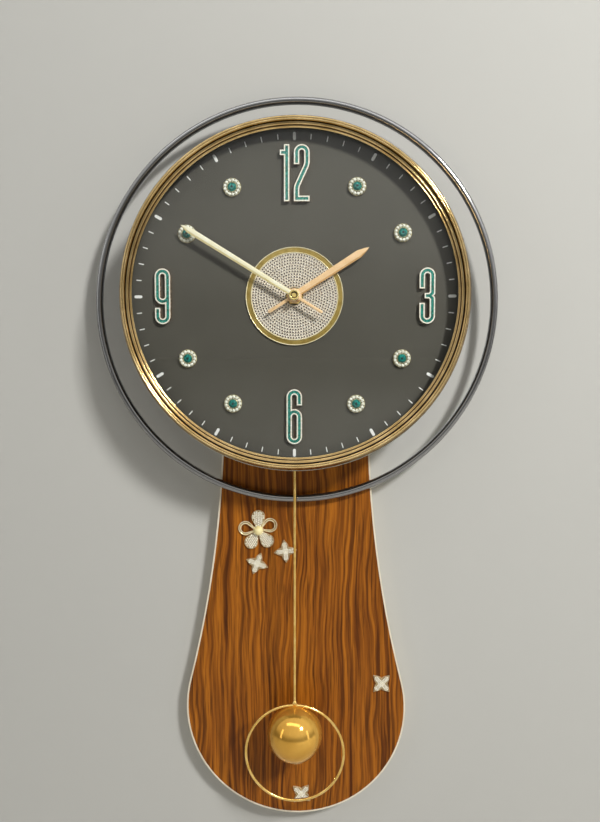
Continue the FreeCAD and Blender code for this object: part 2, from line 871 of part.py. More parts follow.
# Gears
def gear_blank(teeth, module):
    """Corners of a toothed wheel with a tooth centred on +X, and involute flanks."""
    pitch = teeth * module / 2
    base = pitch * math.cos(math.radians(pressure_angle))
    tip = pitch + addendum_share * module
    root = pitch - dedendum_share * module
    flank_steps = 4

    def roll(radius):
        lean = math.acos(min(1, base / radius))
        return math.tan(lean) - lean

    half = math.pi * tooth_share / teeth
    low = max(base, root)
    flank = [(root, half + roll(pitch))]
    for k in range(flank_steps + 1):
        radius = low + (tip - low) * k / flank_steps
        if radius > root or k > 0:
            flank.append((radius, half + roll(pitch) - roll(radius)))
    corners = []
    for t in range(teeth):
        mid = 2 * math.pi * t / teeth
        for radius, lean in flank:
            corners.append((radius * math.cos(mid - lean), radius * math.sin(mid - lean)))
        for radius, lean in reversed(flank):
            corners.append((radius * math.cos(mid + lean), radius * math.sin(mid + lean)))
    return corners


def level_out(level):
    """Distance from the wall of a level counted back from the dial."""
    return dial_back - level


def gear(teeth, module, turn, level, x, z, thick):
    far = level_out(level)
    wheel = spun(prism(gear_blank(teeth, module), far - thick, far), turn)
    wheel.translate(Vector(x, 0, z))
    return wheel


def in_mesh(teeth_a, turn_a, teeth_b, bearing):
    """Turn of wheel B, seen from A at bearing, that puts its gap on A's tooth."""
    phase_a = (bearing - turn_a) * teeth_a / 360
    phase_b = 0.5 - phase_a
    return bearing + 180 - phase_b * 360 / teeth_b


def module_for(distance, teeth_a, teeth_b):
    return 2 * distance / (teeth_a + teeth_b)


def place_from(x, z, distance, bearing):
    dx, dz = polar(distance, bearing)
    return x + dx, z + dz


third_x, third_z = place_from(0, 0, centre_distance, third_bearing)
motion_x, motion_z = place_from(0, 0, motion_distance, motion_bearing)
knob_x, knob_z = place_from(motion_x, motion_z, motion_distance, knob_bearing)
inter_x, inter_z = place_from(0, 0, inter_distance, inter_bearing)
rotor_x, rotor_z = place_from(inter_x, inter_z, rotor_distance, rotor_bearing)

centre_module = module_for(centre_distance, centre_teeth, pinion_teeth)
third_module = module_for(centre_distance, third_teeth, pinion_teeth)
seconds_module = module_for(inter_distance, seconds_teeth, pinion_teeth)
inter_module = module_for(rotor_distance, inter_teeth, pinion_teeth)
motion_module = module_for(motion_distance, cannon_teeth, motion_teeth)
hour_module = module_for(motion_distance, cannon_teeth, hour_teeth)

third_turn = in_mesh(centre_teeth, 0, pinion_teeth, third_bearing)
seconds_turn = in_mesh(third_teeth, third_turn, pinion_teeth, third_bearing + 180)
inter_turn = in_mesh(seconds_teeth, seconds_turn, pinion_teeth, inter_bearing)
rotor_turn = in_mesh(inter_teeth, inter_turn, pinion_teeth, rotor_bearing)
motion_turn = in_mesh(cannon_teeth, 0, motion_teeth, motion_bearing)
hour_turn = in_mesh(cannon_teeth, motion_turn, hour_teeth, motion_bearing + 180)
knob_turn = in_mesh(motion_teeth, motion_turn, knob_teeth, knob_bearing)

front_wall_in = level_out(washer_thick + move_wall)
back_wall_in = move_back
plate_out = level_out(plate_level)


def bar_between(near, far, x, z):
    """An arbor with thinner pivots that run in bearings outside near and far."""
    shaft = disc(arbor_radius, near + pivot_fit * 2, far - pivot_fit * 2, x, z)
    pivots = disc(pivot_radius, near - pivot_reach, far + pivot_reach, x, z)
    return [shaft, pivots]


def make_train():
    centre = gear(centre_teeth, centre_module, 0, centre_level, 0, 0, wheel_thick)
    centre = centre.cut(disc(minute_arbor_radius + pipe_fit, 0, dial_face))
    save("centre_wheel", centre)

    third = [gear(third_teeth, third_module, third_turn, third_level, third_x, third_z, wheel_thick),
             gear(pinion_teeth, centre_module, third_turn, centre_level - pinion_lead,
                  third_x, third_z, pinion_thick)]
    save("third_wheel", joined(third + bar_between(back_wall_in, front_wall_in, third_x, third_z)))

    front_bearing = plate_out - plate_thick
    seconds = [gear(seconds_teeth, seconds_module, seconds_turn, seconds_level, 0, 0, wheel_thick),
               gear(pinion_teeth, third_module, seconds_turn, third_level - pinion_lead,
                    0, 0, pinion_thick)]
    save("seconds_wheel", joined(seconds + bar_between(back_wall_in, front_bearing, 0, 0)))

    inter = [gear(inter_teeth, inter_module, inter_turn, inter_level, inter_x, inter_z, wheel_thick),
             gear(pinion_teeth, seconds_module, inter_turn, seconds_level - pinion_lead,
                  inter_x, inter_z, pinion_thick)]
    save("intermediate_wheel", joined(inter + bar_between(back_wall_in, front_bearing, inter_x, inter_z)))

    magnet_far = level_out(rotor_magnet_level)
    rotor = [gear(pinion_teeth, inter_module, rotor_turn, inter_level - pinion_lead,
                  rotor_x, rotor_z, pinion_thick),
             disc(rotor_magnet_radius, magnet_far - rotor_magnet_thick, magnet_far, rotor_x, rotor_z)]
    save("rotor", joined(rotor + bar_between(back_wall_in, front_bearing, rotor_x, rotor_z)))


def make_motion_work():
    pipe_front = dial_face + hour_hand_out + hand_thick
    hour_far = level_out(hour_level)
    hour = [gear(hour_teeth, hour_module, hour_turn, hour_level, 0, 0, wheel_thick),
            disc(hour_pipe_radius, hour_far - wheel_thick, pipe_front)]
    hour_bore = hour_pipe_radius - hour_pipe_wall
    save("hour_wheel", joined(hour).cut(disc(hour_bore, 0, pipe_front + overrun)))

    arbor_front = nut_back + hand_nut_floor
    cannon = [gear(cannon_teeth, motion_module, 0, motion_level, 0, 0, wheel_thick),
              disc(minute_arbor_radius, plate_out + pivot_fit * 2, arbor_front),
              disc(pivot_radius, plate_out - pivot_reach, plate_out + pivot_radius)]
    save("minute_arbor", joined(cannon))

    motion = [gear(motion_teeth, motion_module, motion_turn, motion_level, motion_x, motion_z, wheel_thick),
              gear(cannon_teeth, hour_module, motion_turn, hour_level - pinion_lead,
                   motion_x, motion_z, pinion_thick)]
    save("motion_wheel", joined(motion).cut(disc(post_radius + pivot_fit, 0, dial_back, motion_x, motion_z)))

    knob_back = cover_back - knob_height
    knob_pinion = level_out(motion_level) - wheel_thick
    knob = [gear(knob_teeth, motion_module, knob_turn, motion_level, knob_x, knob_z, wheel_thick),
            disc(pivot_radius, knob_pinion, front_wall_in + pivot_reach, knob_x, knob_z),
            disc(knob_shaft, knob_back, knob_pinion + wheel_thick / 2, knob_x, knob_z),
            disc(knob_radius, knob_back, cover_back - pivot_fit * 4, knob_x, knob_z)]
    save("setting_knob", joined(knob))


# Movement case and electrics
def bearing_holes(shape, places, near, far):
    for x, z in places:
        shape = shape.cut(disc(pivot_radius + pivot_fit, near, far, x, z))
    return shape


def cell_room(grow):
    """Space of the battery bay, grown by a margin."""
    half = cell_length / 2 + cell_tip + contact_thick + cell_gap + grow
    low = -cell_drop - cell_radius - cell_gap - grow
    high = -cell_drop + cell_radius + cell_gap + grow
    return -half, half, low, high


def make_movement():
    half, top, low = move_half, move_top, -move_bottom
    outer = slab(-half, half, low, top, move_back, move_front)
    inner = slab(-half + move_wall, half - move_wall, low + move_wall, top - move_wall,
                 move_back - overrun, move_front - move_wall)
    shell = outer.cut(inner)
    left, right, bay_low, bay_high = cell_room(0)
    wall_far = move_front - move_wall / 2
    edge = half - move_wall / 2
    shelves = [slab(-edge, edge, bay_high, bay_high + move_wall, move_back, wall_far),
               slab(-edge, edge, bay_low - move_wall, bay_low, move_back, wall_far),
               slab(-edge, left, bay_low, bay_high, move_back, wall_far),
               slab(right, edge, bay_low, bay_high, move_back, wall_far)]
    bush = disc(bush_radius, wall_far, dial_face + bush_rise)
    pin = disc(lever_pin_radius, swing_out - lever_thick / 2 - lever_pin_radius, wall_far, 0, -pivot_drop)
    post = disc(post_radius, level_out(motion_level) - wheel_thick - pivot_fit, wall_far, motion_x, motion_z)
    shell = joined([shell] + shelves + [bush, pin, post])
    shell = shell.cut(disc(bush_bore, move_back, dial_face + overrun))
    shell = shell.cut(slab(-lever_slot_half, lever_slot_half, low - overrun, low + move_wall * 2,
                           swing_out - lever_thick, swing_out + lever_thick))
    fronts = [(third_x, third_z), (knob_x, knob_z)]
    shell = bearing_holes(shell, fronts, front_wall_in, front_wall_in + pivot_reach + pivot_fit)
    save("movement_housing", shell)

    cover = slab(-half, half, low, top, cover_back, move_back)
    cover = cover.cut(slab(left, right, bay_low, bay_high, 0, dial_back))
    backs = [(third_x, third_z), (0, 0), (inter_x, inter_z), (rotor_x, rotor_z)]
    cover = bearing_holes(cover, backs, back_wall_in - pivot_reach - pivot_fit, back_wall_in)
    cover = cover.cut(disc(knob_shaft + pivot_fit, 0, dial_back, knob_x, knob_z))
    post_x = coil_length / 2 + coil_core
    stator_back = level_out(stator_level) - stator_thick
    posts = [disc(coil_core, back_wall_in - cover_thick / 2, stator_back, side * post_x, rotor_z)
             for side in (-1, 1)]
    cover = joined([cover] + posts)
    save("movement_cover", cover)

    plate = slab(-half + move_wall, half - move_wall, bay_high + move_wall, top - move_wall,
                 plate_out - plate_thick, plate_out)
    plate = plate.cut(disc(arbor_radius + pivot_fit * 4, 0, dial_back, third_x, third_z))
    plate = plate.cut(disc(knob_shaft + pivot_fit * 4, 0, dial_back, knob_x, knob_z))
    plate = bearing_holes(plate, [(0, 0), (inter_x, inter_z), (rotor_x, rotor_z)], 0, dial_back)
    save("middle_plate", plate)

    seal = sleeve(washer_radius, bush_radius, move_front, dial_back)
    save("rubber_washer", seal)
    nut = hexagon(fixing_nut_flats, dial_face, dial_face + fixing_nut_thick)
    save("fixing_nut", nut.cut(disc(bush_radius, 0, dial_face + overrun)))


def make_electrics():
    left, right, bay_low, bay_high = cell_room(0)
    cell_out = level_out(cell_level)
    cell_end = cell_length / 2
    body = lying(cell_radius, -cell_end, cell_end, cell_out, -cell_drop)
    tip = lying(cell_tip_radius, cell_end, cell_end + cell_tip, cell_out, -cell_drop)
    save("battery", joined([body, tip]))

    near = cell_out - contact_width / 2
    far = cell_out + contact_width / 2
    low, high = -cell_drop - contact_width / 2, -cell_drop + contact_width / 2
    plus = slab(right - contact_thick, right, low, high, near, far)
    minus = slab(left, left + contact_thick, low, high, near, far)
    seat = Vector(left + contact_thick, -cell_out, -cell_drop)
    pip = Part.makeCone(contact_pip * 2, contact_pip, cell_tip, seat, Vector(1, 0, 0))
    save("battery_contacts", [plus, joined([minus, pip])])

    circuit_far = level_out(board_level)
    half = move_half - move_wall
    middle = -(circuit_bottom + circuit_top) / 2
    circuit = slab(-half, half, -circuit_bottom, -circuit_top, circuit_far - circuit_thick, circuit_far)
    chip = disc(magnet_radius, circuit_far, circuit_far + circuit_thick, -half / 2, middle)
    crystal = lying(circuit_thick, half / 4, half / 2, circuit_far + circuit_thick, middle)
    save("circuit_board", joined([circuit, chip, crystal]))

    coil_out = level_out(stator_level) - stator_thick / 2
    coil_end = coil_length / 2
    coil_z = coil_rise - coil_radius
    winding = lying(coil_radius, -coil_end, coil_end, coil_out, coil_z)
    core = lying(coil_core, -coil_end - coil_core, coil_end + coil_core, coil_out, coil_z)
    save("clock_coil", winding.cut(core))
    make_stator(core)

    drive_far = swing_out - lever_thick / 2 - drive_coil_gap
    drive = sleeve(drive_coil_radius, drive_coil_bore, back_wall_in, drive_far, 0, -pivot_drop - magnet_drop)
    save("drive_coil", drive)


def make_stator(core):
    """Two iron yokes that run from the coil's core down to the rotor's hole."""
    far = level_out(stator_level)
    near = far - stator_thick
    foot = rotor_z - rotor_magnet_radius - rotor_gap * 4
    side = coil_length / 2
    rail = coil_rise - coil_radius + coil_core
    left = slab(-side - coil_core * 2, -side, foot, rail, near, far)
    right = slab(side, side + coil_core * 2, foot, rail, near, far)
    tongue = slab(-side, side, foot, rotor_z + rotor_magnet_radius / 2, near, far)
    tongue = tongue.cut(disc(rotor_magnet_radius + rotor_gap, 0, dial_back, rotor_x, rotor_z))
    tongue = tongue.cut(disc(arbor_radius + rotor_gap, 0, dial_back, inter_x, inter_z))
    save("stator", joined([left, right, tongue, core]))


# Pendulum
def make_pendulum():
    pivot_z = -pivot_drop
    near = swing_out - lever_thick / 2
    far = swing_out + lever_thick / 2
    foot = pivot_z - lever_drop
    arm = slab(-lever_width / 2, lever_width / 2, foot, pivot_z, near, far)
    head = disc(lever_head, near, far, 0, pivot_z)
    cup = disc(magnet_radius + lever_pin_radius, near, far, 0, pivot_z - magnet_drop)
    peg_z = foot + lever_width / 2
    hook = disc(lever_peg_radius, near - lever_peg_length, near, 0, peg_z)
    lever = joined([arm, head, cup, hook])
    lever = lever.cut(disc(lever_pin_radius + lever_pin_fit, 0, dial_back, 0, pivot_z))
    pocket = disc(magnet_radius, near, near + magnet_thick, 0, pivot_z - magnet_drop)
    save("pendulum_lever", lever.cut(pocket))
    save("lever_magnet", pocket)

    eye_out = near - lever_peg_length / 2
    eye_major = lever_peg_radius + rod_eye_fit + rod_eye_wire
    eye_z = peg_z - rod_eye_fit / 2
    eye = hoop(eye_major, rod_eye_wire, eye_out, 0, eye_z)
    rod_top = Vector(0, -eye_out, eye_z - eye_major)
    bend_z = rod_top.z - rod_crank_drop
    rod_foot = -loop_drop + loop_radius + lug_height / 2
    bend = Vector(0, -swing_out, bend_z)
    crank = Part.makeCylinder(rod_eye_wire, (bend - rod_top).Length, rod_top, bend - rod_top)
    bar = standing(rod_radius, rod_foot, bend_z, swing_out)
    knee = Part.makeSphere(rod_radius, bend)
    save("pendulum_rod", joined([eye, crank, bar, knee]))

    loop = hoop(loop_radius - loop_wire, loop_wire, swing_out, 0, -loop_drop)
    lug = standing(lug_radius, rod_foot - lug_height / 2, rod_foot + lug_height / 2, swing_out)
    stem = standing(ball_stem_radius, -ball_drop + ball_radius / 2, rod_foot, swing_out)
    socket = standing(rod_radius, rod_foot, rod_foot + lug_height, swing_out)
    save("pendulum_ring", joined([loop, lug, stem]).cut(socket))

    centre = Vector(0, -swing_out, -ball_drop)
    skin = Part.makeSphere(ball_radius, centre)
    hollow = Part.makeSphere(ball_radius - ball_wall, centre)
    hole = standing(ball_stem_radius, -ball_drop, -ball_drop + ball_radius, swing_out)
    save("pendulum_ball", skin.cut(hollow).cut(hole))


# Ornaments
def drop_edges(radius, spread, begin, out):
    """A drop along +X, open at the pearl: two straight legs, spread apart, and a round end."""
    reach_x = flower_orbit - begin
    to_centre = math.hypot(reach_x, spread)
    lean = math.asin(radius / to_centre) - math.atan2(spread, reach_x)
    leg = math.sqrt(to_centre ** 2 - radius ** 2)
    touch_x = begin + leg * math.cos(lean)
    touch_z = spread + leg * math.sin(lean)

    def at(x, z):
        return Vector(x, -out, z)

    edges = [
        Part.LineSegment(at(begin, spread), at(touch_x, touch_z)).toShape(),
        Part.Arc(at(touch_x, touch_z), at(flower_orbit + radius, 0), at(touch_x, -touch_z)).toShape(),
        Part.LineSegment(at(touch_x, -touch_z), at(begin, -spread)).toShape(),
    ]
    return edges, Vector(math.cos(lean), 0, math.sin(lean))


def petal_plate(near, far):
    edges, heading = drop_edges(petal_radius, petal_stem, 0, near)
    foot = Part.LineSegment(Vector(0, -near, -petal_stem), Vector(0, -near, petal_stem)).toShape()
    return Part.Face(Part.Wire(edges + [foot])).extrude(Vector(0, near - far, 0))


def wire_loop(radius, spread, out):
    begin = pearl_radius + wire_radius * 2
    edges, heading = drop_edges(radius, spread, begin, out)
    section = Part.Wire(Part.makeCircle(wire_radius, Vector(begin, -out, spread), heading))
    return Part.Wire(edges).makePipeShell([section], True, False)


def make_flower():
    near, far = face_out, face_out + petal_thick
    plates = [spun(petal_plate(near, far), turn) for turn in petal_turns]
    base = joined([disc(pearl_radius, near, far)] + plates)
    loops = []
    for turn in wire_petal_turns:
        outer = wire_loop(wire_petal_radius, wire_spread * 1.5, near + wire_radius)
        inner = wire_loop(wire_petal_radius - wire_spread, wire_spread / 2, near + wire_radius)
        loops.append(spun(outer, turn))
        loops.append(spun(inner, turn))
    pearl = Part.makeSphere(pearl_radius, Vector(0, -far, 0))
    pearl = pearl.common(disc(pearl_radius, far, far + pearl_radius))
    for shape in [base, pearl] + loops:
        shape.translate(Vector(flower_x, 0, -flower_drop))
    save("flower_base", base)
    save("flower_loops", loops)
    save("flower_pearl", pearl)


def pointed_petal(near, far):
    """A pointed oval along +X that starts in the blossom's middle."""
    start, end = Vector(0, -near, 0), Vector(blossom_reach, -near, 0)
    sides = [Vector(blossom_reach / 2, -near, side * blossom_width / 2) for side in (1, -1)]
    edges = [Part.Arc(start, sides[0], end).toShape(), Part.Arc(end, sides[1], start).toShape()]
    return Part.Face(Part.Wire(edges)).extrude(Vector(0, near - far, 0))


def blossom_places():
    """Two blossoms stand below the flower, and two on the board's round foot."""
    yield flower_x + blossom_low_x, -flower_drop - blossom_low_drop
    yield flower_x + blossom_near_x, -flower_drop - blossom_near_drop
    for angle in foot_blossom_angles:
        x, z = polar(foot_radius * foot_blossom_share, angle)
        yield x, z - foot_drop


def make_blossoms():
    near, far = face_out, face_out + petal_thick
    blossoms = []
    for (x, z), turn in zip(blossom_places(), blossom_turns):
        leaves = [spun(pointed_petal(near, far), turn + 90 * k) for k in range(4)]
        blossom = joined(leaves + [disc(blossom_core, near, far + petal_thick / 4)])
        blossom.translate(Vector(x, 0, z))
        blossoms.append(blossom)
    save("small_blossoms", blossoms)


os.makedirs("parts", exist_ok=True)
make_board()
make_hanger()
make_ring()
make_case()
make_glass()
make_bezel()
make_dial()
make_medallion()
make_numerals()
make_jewels()
make_hands()
make_train()
make_motion_work()
make_movement()
make_electrics()
make_pendulum()
make_flower()
make_blossoms()
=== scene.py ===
import json
import math

import bmesh
import bpy
from mathutils import Matrix, Vector


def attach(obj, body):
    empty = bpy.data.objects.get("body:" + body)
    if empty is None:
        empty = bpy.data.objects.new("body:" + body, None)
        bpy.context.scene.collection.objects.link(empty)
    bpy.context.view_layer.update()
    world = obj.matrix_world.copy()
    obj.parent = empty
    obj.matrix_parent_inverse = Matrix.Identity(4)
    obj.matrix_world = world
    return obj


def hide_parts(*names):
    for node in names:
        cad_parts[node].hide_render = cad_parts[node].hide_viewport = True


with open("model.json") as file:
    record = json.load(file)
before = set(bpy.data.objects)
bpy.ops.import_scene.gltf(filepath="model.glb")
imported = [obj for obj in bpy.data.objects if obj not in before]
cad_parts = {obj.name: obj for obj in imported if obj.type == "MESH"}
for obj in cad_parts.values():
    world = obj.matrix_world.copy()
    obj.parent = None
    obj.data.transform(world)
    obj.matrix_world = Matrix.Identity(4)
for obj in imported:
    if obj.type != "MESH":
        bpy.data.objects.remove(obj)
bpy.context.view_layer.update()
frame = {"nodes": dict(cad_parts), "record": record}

# Sizes are in millimetres about the hands' axis, with "out" as the distance from the wall.
# A profile is a row of (radius, out) corners.
MM = 0.001
HANG_RISE = 92.0

# Corners closer than this are joined, in metres
JOIN_REACH = 1e-6
WELD_REACH = 2e-5

# Camera, fitted to the photograph, in metres; the sensor in millimetres
IMAGE_HEIGHT = 822
FOCAL_PIXELS = 611.0
SENSOR = 36.0
CAMERA_NEAR = 0.01
CAMERA_PLACE = (0.01876, -0.63292, -0.17033)
CAMERA_TURN = (2.9356, 1.3264, 0.0959)

# Room and lamps, in metres
WALL_Y = 0.0006
FLOOR_Z = -0.70
ROOM_REACH = 6.0
AIM_PLACE = (0.0, -0.0526, -0.212)
KEY_PLACE = (1.24, -1.54, 1.15)
KEY_SIZE = 0.32
KEY_WATTS = 54.0
STRIP_PLACE = (-0.2, -1.2, 1.6)
STRIP_WIDTH = 2.4
STRIP_DEPTH = 0.45
STRIP_WATTS = 8.5
SIDE_PLACES = ((-1.9, -1.3, 0.1), (2.0, -1.25, -0.1))
SIDE_WIDTH = 0.3
SIDE_HEIGHT = 1.3
SIDE_WATTS = (2.6, 1.7)
BACK_PLACES = ((-1.1, 1.5, 0.9), (1.2, 1.6, -0.2))
BACK_SIZE = 0.9
BACK_WATTS = (20.0, 12.0)
AMBIENT = 0.1
SKY_SPAN = (-0.7, 0.9)
SKY_STOPS = (
    (0.0, (0.45, 0.44, 0.42, 1)), (0.38, (0.14, 0.135, 0.13, 1)), (0.5, (0.24, 0.235, 0.225, 1)),
    (0.64, (0.84, 0.83, 0.81, 1)), (1.0, (1, 1, 1, 1)),
)

# Tube ring
BOARD_FACE = 14.6
NECK_HALF = 74.0
RING_RADIUS = 196.3
RING_TUBE = 3.7
RING_DROP = 2.0
RING_OUT = 20.3
STUD_SHARES = (-0.776, -0.277, 0.277, 0.776)
STUD_RADIUS = 2.0
STUD_BACK = 3.2
STUD_CHAMFER = 0.4
STUD_SUNK = 1.0
COLLAR_RADIUS = 3.4
COLLAR_SETBACK = 1.6
COLLAR_ROUND = 0.6

# Case and glass
DIAL_FACE = 52.6
DIAL_GAP = 0.3
CASE_RADIUS = 160.3
CASE_INNER = 158.0
CASE_LIP = 64.0
GLASS_EDGE = 156.7
GLASS_SEAT = 59.6
GLASS_FRONT = 62.6
DOME_EDGE = 150.4
DOME_INNER = 147.4
DOME_RISE = 12.0

# Bezel's face, with beads as (middle, radius, first angle, last angle, steps)
OUTER_BEAD = ((160.2, 66.3), 0.9, 20.0, 170.0, 8)
SECOND_BEAD = ((158.4, 66.3), 0.8, 20.0, 180.0, 8)
RIDGE_BEAD = ((154.75, 63.75), 0.65, 30.0, 150.0, 6)
LINER_BEAD = ((151.78, 63.2), 0.55, 10.0, 180.0, 8)
BEAD_FOOT = (161.1, 65.6)
BEAD_VALLEY = (159.28, 65.5)
GROOVE_SLOPE = (157.4, 64.5)
GROOVE_FLOOR = ((157.1, 63.1), (156.65, 63.1))
FACE_RISE = ((156.6, 63.7), (156.55, 64.2), (156.45, 64.32), (156.35, 64.32), (155.5, 64.12),
             (155.4, 64.08))
FACE_END = (154.1, 63.4)
BROWN_FLOOR = ((154.0, 63.15), (153.3, 63.15))
LIP_PROFILE = ((153.25, 63.4), (153.1, 63.65), (152.6, 63.6), (152.4, 63.35))
LINER_VALLEY = (152.35, 63.1)
LINER_INNER = 151.15
BEZEL_UNDER = 62.9

# Bezel's side and the plated rim behind it
BEZEL_BACK = 47.3
BEZEL_OUTER = 163.4
BACK_ROUND = 0.5
HATCH_START = 0.4
SHOULDER_OUT = 62.2
SHOULDER_IN = 2.4
SHOULDER_RISE = 3.4
HATCH_TEETH = 640
HATCH_DEPTH = 0.22
HATCH_LEAN = 0.9
RIM_BACK = 46.1
RIM_RADIUS = 166.6
RIM_GAP = 0.3
RIM_THICK = 0.5
RIM_CREST = 0.7
RIM_ROUND = 0.2
RIM_WIDTH = 0.8
RIM_FOOT = 0.9

# Medallion
MEDAL_RADIUS = 46.0
MEDAL_FACE = 53.6
MEDAL_EDGE = 53.8
MEDAL_FLAT = (45.1, 41.3)
MEDAL_BEADS = (((45.62, MEDAL_EDGE), 0.38, 0.0, 180.0, 6), ((40.8, MEDAL_EDGE), 0.4, 0.0, 180.0, 6))
MESH_RADIUS = 40.4
MESH_HOLE = 8.4
MESH_THICK = 0.8
STONE_PITCH = 2.6
STONE_SLACK = 0.02
STONE_CUP = 1.29
STONE_GEM = 0.86
CUP_GAP = 0.1
GEM_SEAT = 0.3
GEM_CREST = 0.38
CUP_PROFILE = ((STONE_CUP, -CUP_GAP), (STONE_CUP - CUP_GAP, 0.25), (STONE_GEM + CUP_GAP, GEM_CREST),
               (STONE_GEM, GEM_SEAT))
GEM_TABLE_SHARE = 0.6
GEM_PROFILE = ((STONE_GEM, GEM_SEAT), (STONE_GEM * GEM_TABLE_SHARE, GEM_CREST), (0.0, 0.4))

# Jewels
JEWEL_ORBIT = 116.8
JEWEL_ANGLES = (30, 60, 120, 150, 210, 240, 300, 330)
JEWEL_RADIUS = 8.5
JEWEL_THICK = 1.2
JEWEL_ROUND = 0.4
JEWEL_EDGE = ((0.0, -0.2), (-0.3, 0.1), (-0.6, 0.0))
GREEN_RADIUS = 4.4
GREEN_HEIGHT = 2.7
GREEN_SIDES = 12
GREEN_GAP = 0.05
GREEN_DOT = ((1.1, GREEN_HEIGHT), (0.8, 2.78), (0.0, 2.8))
COLLAR_PROFILE = ((0.5, 0.0), (0.45, 1.2), (0.15, 1.4), (-0.1, 1.2), (0.0, 0.0))
CRYSTAL_ORBIT = 6.6
CRYSTAL_COUNT = 13
CRYSTAL_RADIUS = 1.66
CRYSTAL_HEIGHT = 1.6
CRYSTAL_SIDES = 8
CRYSTAL_LIFT = 0.1
PRONG_INSET = 0.1
PRONG_PROFILE = ((0.0, 1.5), (0.25, 1.4), (0.42, 1.1), (0.42, 0.0))

# Cut stones: at each row of corners, the shares of the radius, the height and a facet's turn
GEM_SHARES = ((1.0, 0.0, 0.0), (1.0, 0.3, 0.0), (0.82, 0.68, 0.5), (0.52, 1.0, 0.0))

# Hands
HAND_THICK = 0.8
HAND_EDGE = 0.3
TIP_HALF = 0.12
ROOT_SHARE = 0.4
TIP_SHARES = ((1.0, 0.5), (0.35, 0.24), (0.08, 0.07))
TAIL_EDGE = 0.62
TAIL_RIDGE_SHARE = 0.55
HOUR_BLADE = {"angle": 57.6, "level": 58.6, "reach": 82.3, "width": 7.4, "tip": 11.0, "tail": 28.8,
              "tail_half": 1.45, "inner": 5.6, "lean_share": 0.6}
MINUTE_BLADE = {"angle": 301.6, "level": 61.4, "reach": 123.5, "width": 5.8, "tip": 9.0, "tail": 31.0,
                "tail_half": 1.35, "inner": 4.2, "lean_share": -0.35}
HOUR_HUB = ((2.75, 57.0), (6.3, 57.0), (6.8, 57.4), (6.8, 58.9), (6.2, 59.4), (2.75, 59.4))
MINUTE_HUB = ((2.1, 61.4), (4.8, 61.4), (5.0, 61.6), (5.0, 62.0), (4.7, 62.2), (2.1, 62.2))
NUT_PROFILE = ((2.1, 62.2), (4.3, 62.2), (4.6, 62.5), (4.6, 64.3), (4.2, 64.8), (3.5, 64.8), (3.2, 64.5),
               (3.1, 63.1), (2.1, 63.1))
NUT_KNURLS = 36
KNURL_DEPTH = 0.12

# Pendulum
SWING_OUT = 43.5
LOOP_DROP = 449.2
LOOP_RADIUS = 48.55
LOOP_WIRE = 1.4
HAMMER_SHARE = 0.05
HAMMER_QUICK = 1.7
HAMMER_SLOW = 0.61
BALL_DROP = 428.7
BALL_RADIUS = 27.2
STEM_RADIUS = 1.1
STEM_SUNK = 0.6
BEAD_PROFILE = ((0.0, -1.6), (1.5, -1.4), (2.2, -0.4), (2.4, 0.8), (2.2, 2.0), (1.5, 3.0),
                (1.3, 3.4), (0.0, 3.5))

# Flower and blossoms
FLOWER_X = -38.2
FLOWER_DROP = 232.5
FLOWER_ORBIT = 14.0
PETAL_RADIUS = 6.8
PETAL_TURNS = (90.0, 239.0, 311.0)
PETAL_BEGIN = 3.6
PETAL_STEM = 2.2
PETAL_THICK = 2.0
PETAL_RIM = ((1.0, PETAL_THICK), (1.0, 0.4), (0.97, 0.15), (0.94, 0.15), (0.92, 0.5))
PETAL_PITCH = 2.0
PETAL_STONE = 0.9
PEARL_RADIUS = 4.8
PEARL_OUT = 16.4
PEARL_CUP = ((0.0, BOARD_FACE), (5.4, BOARD_FACE), (5.4, 16.0), (5.0, 16.5), (0.0, 16.5))
LOOP_TURNS = (170.0, 25.0)
LOOP_ORBIT = 13.3
LOOP_ROUND = 6.8
LOOP_GAP = 1.75
LOOP_THICK = 0.66
LOOP_BEGIN = 4.4
LOOP_STEMS = (1.9, 1.0)
LOOP_LIFTS = (0.5, 1.0)
BLOSSOM_REACH = 11.7
BLOSSOM_HALF = 3.75
LEAF_SHARE = 0.7
BLOSSOM_PITCH = 1.75
BLOSSOM_STONE = 0.8
BLOSSOMS = (
    (-10.6, -253.9, 7.0),
    (-39.5, -266.8, 69.5),
    (88.7, -391.5, 45.0),
    (6.3, -510.4, 50.0),
)
EYE_RADIUS = 3.1
EYE_SUNK = 0.4
EYE_STONE = 0.85
EYE_STONE_SUNK = 0.5
EYE_ORBIT = 1.9
PAVE_SIDES = 6
PAVE_TURN = 30.0
PAVE_HEIGHT = 0.75
PAVE_SUNK = 0.6
PAVE_ROW_SHARE = 0.87
PAVE_FIELD_SHARE = 0.97
PAVE_MARGIN_SHARE = 0.75

# Numerals
NUMERALS = ("numeral_12", "numeral_3", "numeral_6", "numeral_9")
NUMERAL_ROUND = 0.42
ROUND_ANGLE = 50.0

# Textures: grains per metre, and how the walnut's grain stretches along X, Y and Z and sways
FLAKE_GRAIN = 1900.0
GLINT_GRAIN = 1300.0
WEAR_GRAIN = 500.0
TONE_GRAIN = 300.0
ROUGH_GRAIN_SHARE = 3
FINE_GRAIN_SHARE = 6
BAND_STRETCH = (62, 62, 3.0)
BAND_SWAY = 22.0
BAND_PERIOD = (13, 13, 4)
LINE_STRETCH = (360, 360, 8.0)
LINE_SWAY = 14.0
LINE_PERIOD = (14, 14, 7)
PORE_STRETCH = (1000, 1000, 28)
FINE_DEPTH = 0.05

# Edge of the cell's copper band, in metres
CELL_BAND = (0.0135, 0.0137)

# Colours: four numbers are a shader's own, three are 0 to 255 screen values
BLACK = (0, 0, 0, 1)
WHITE = (1, 1, 1, 1)
GLASS_TINT = (0.985, 0.992, 0.988, 1)
BACKDROP = (0.82, 0.82, 0.81, 1)
WALL_TONE = (186, 185, 179)
FLOOR_TONES = ((196, 194, 188), (204, 202, 197))

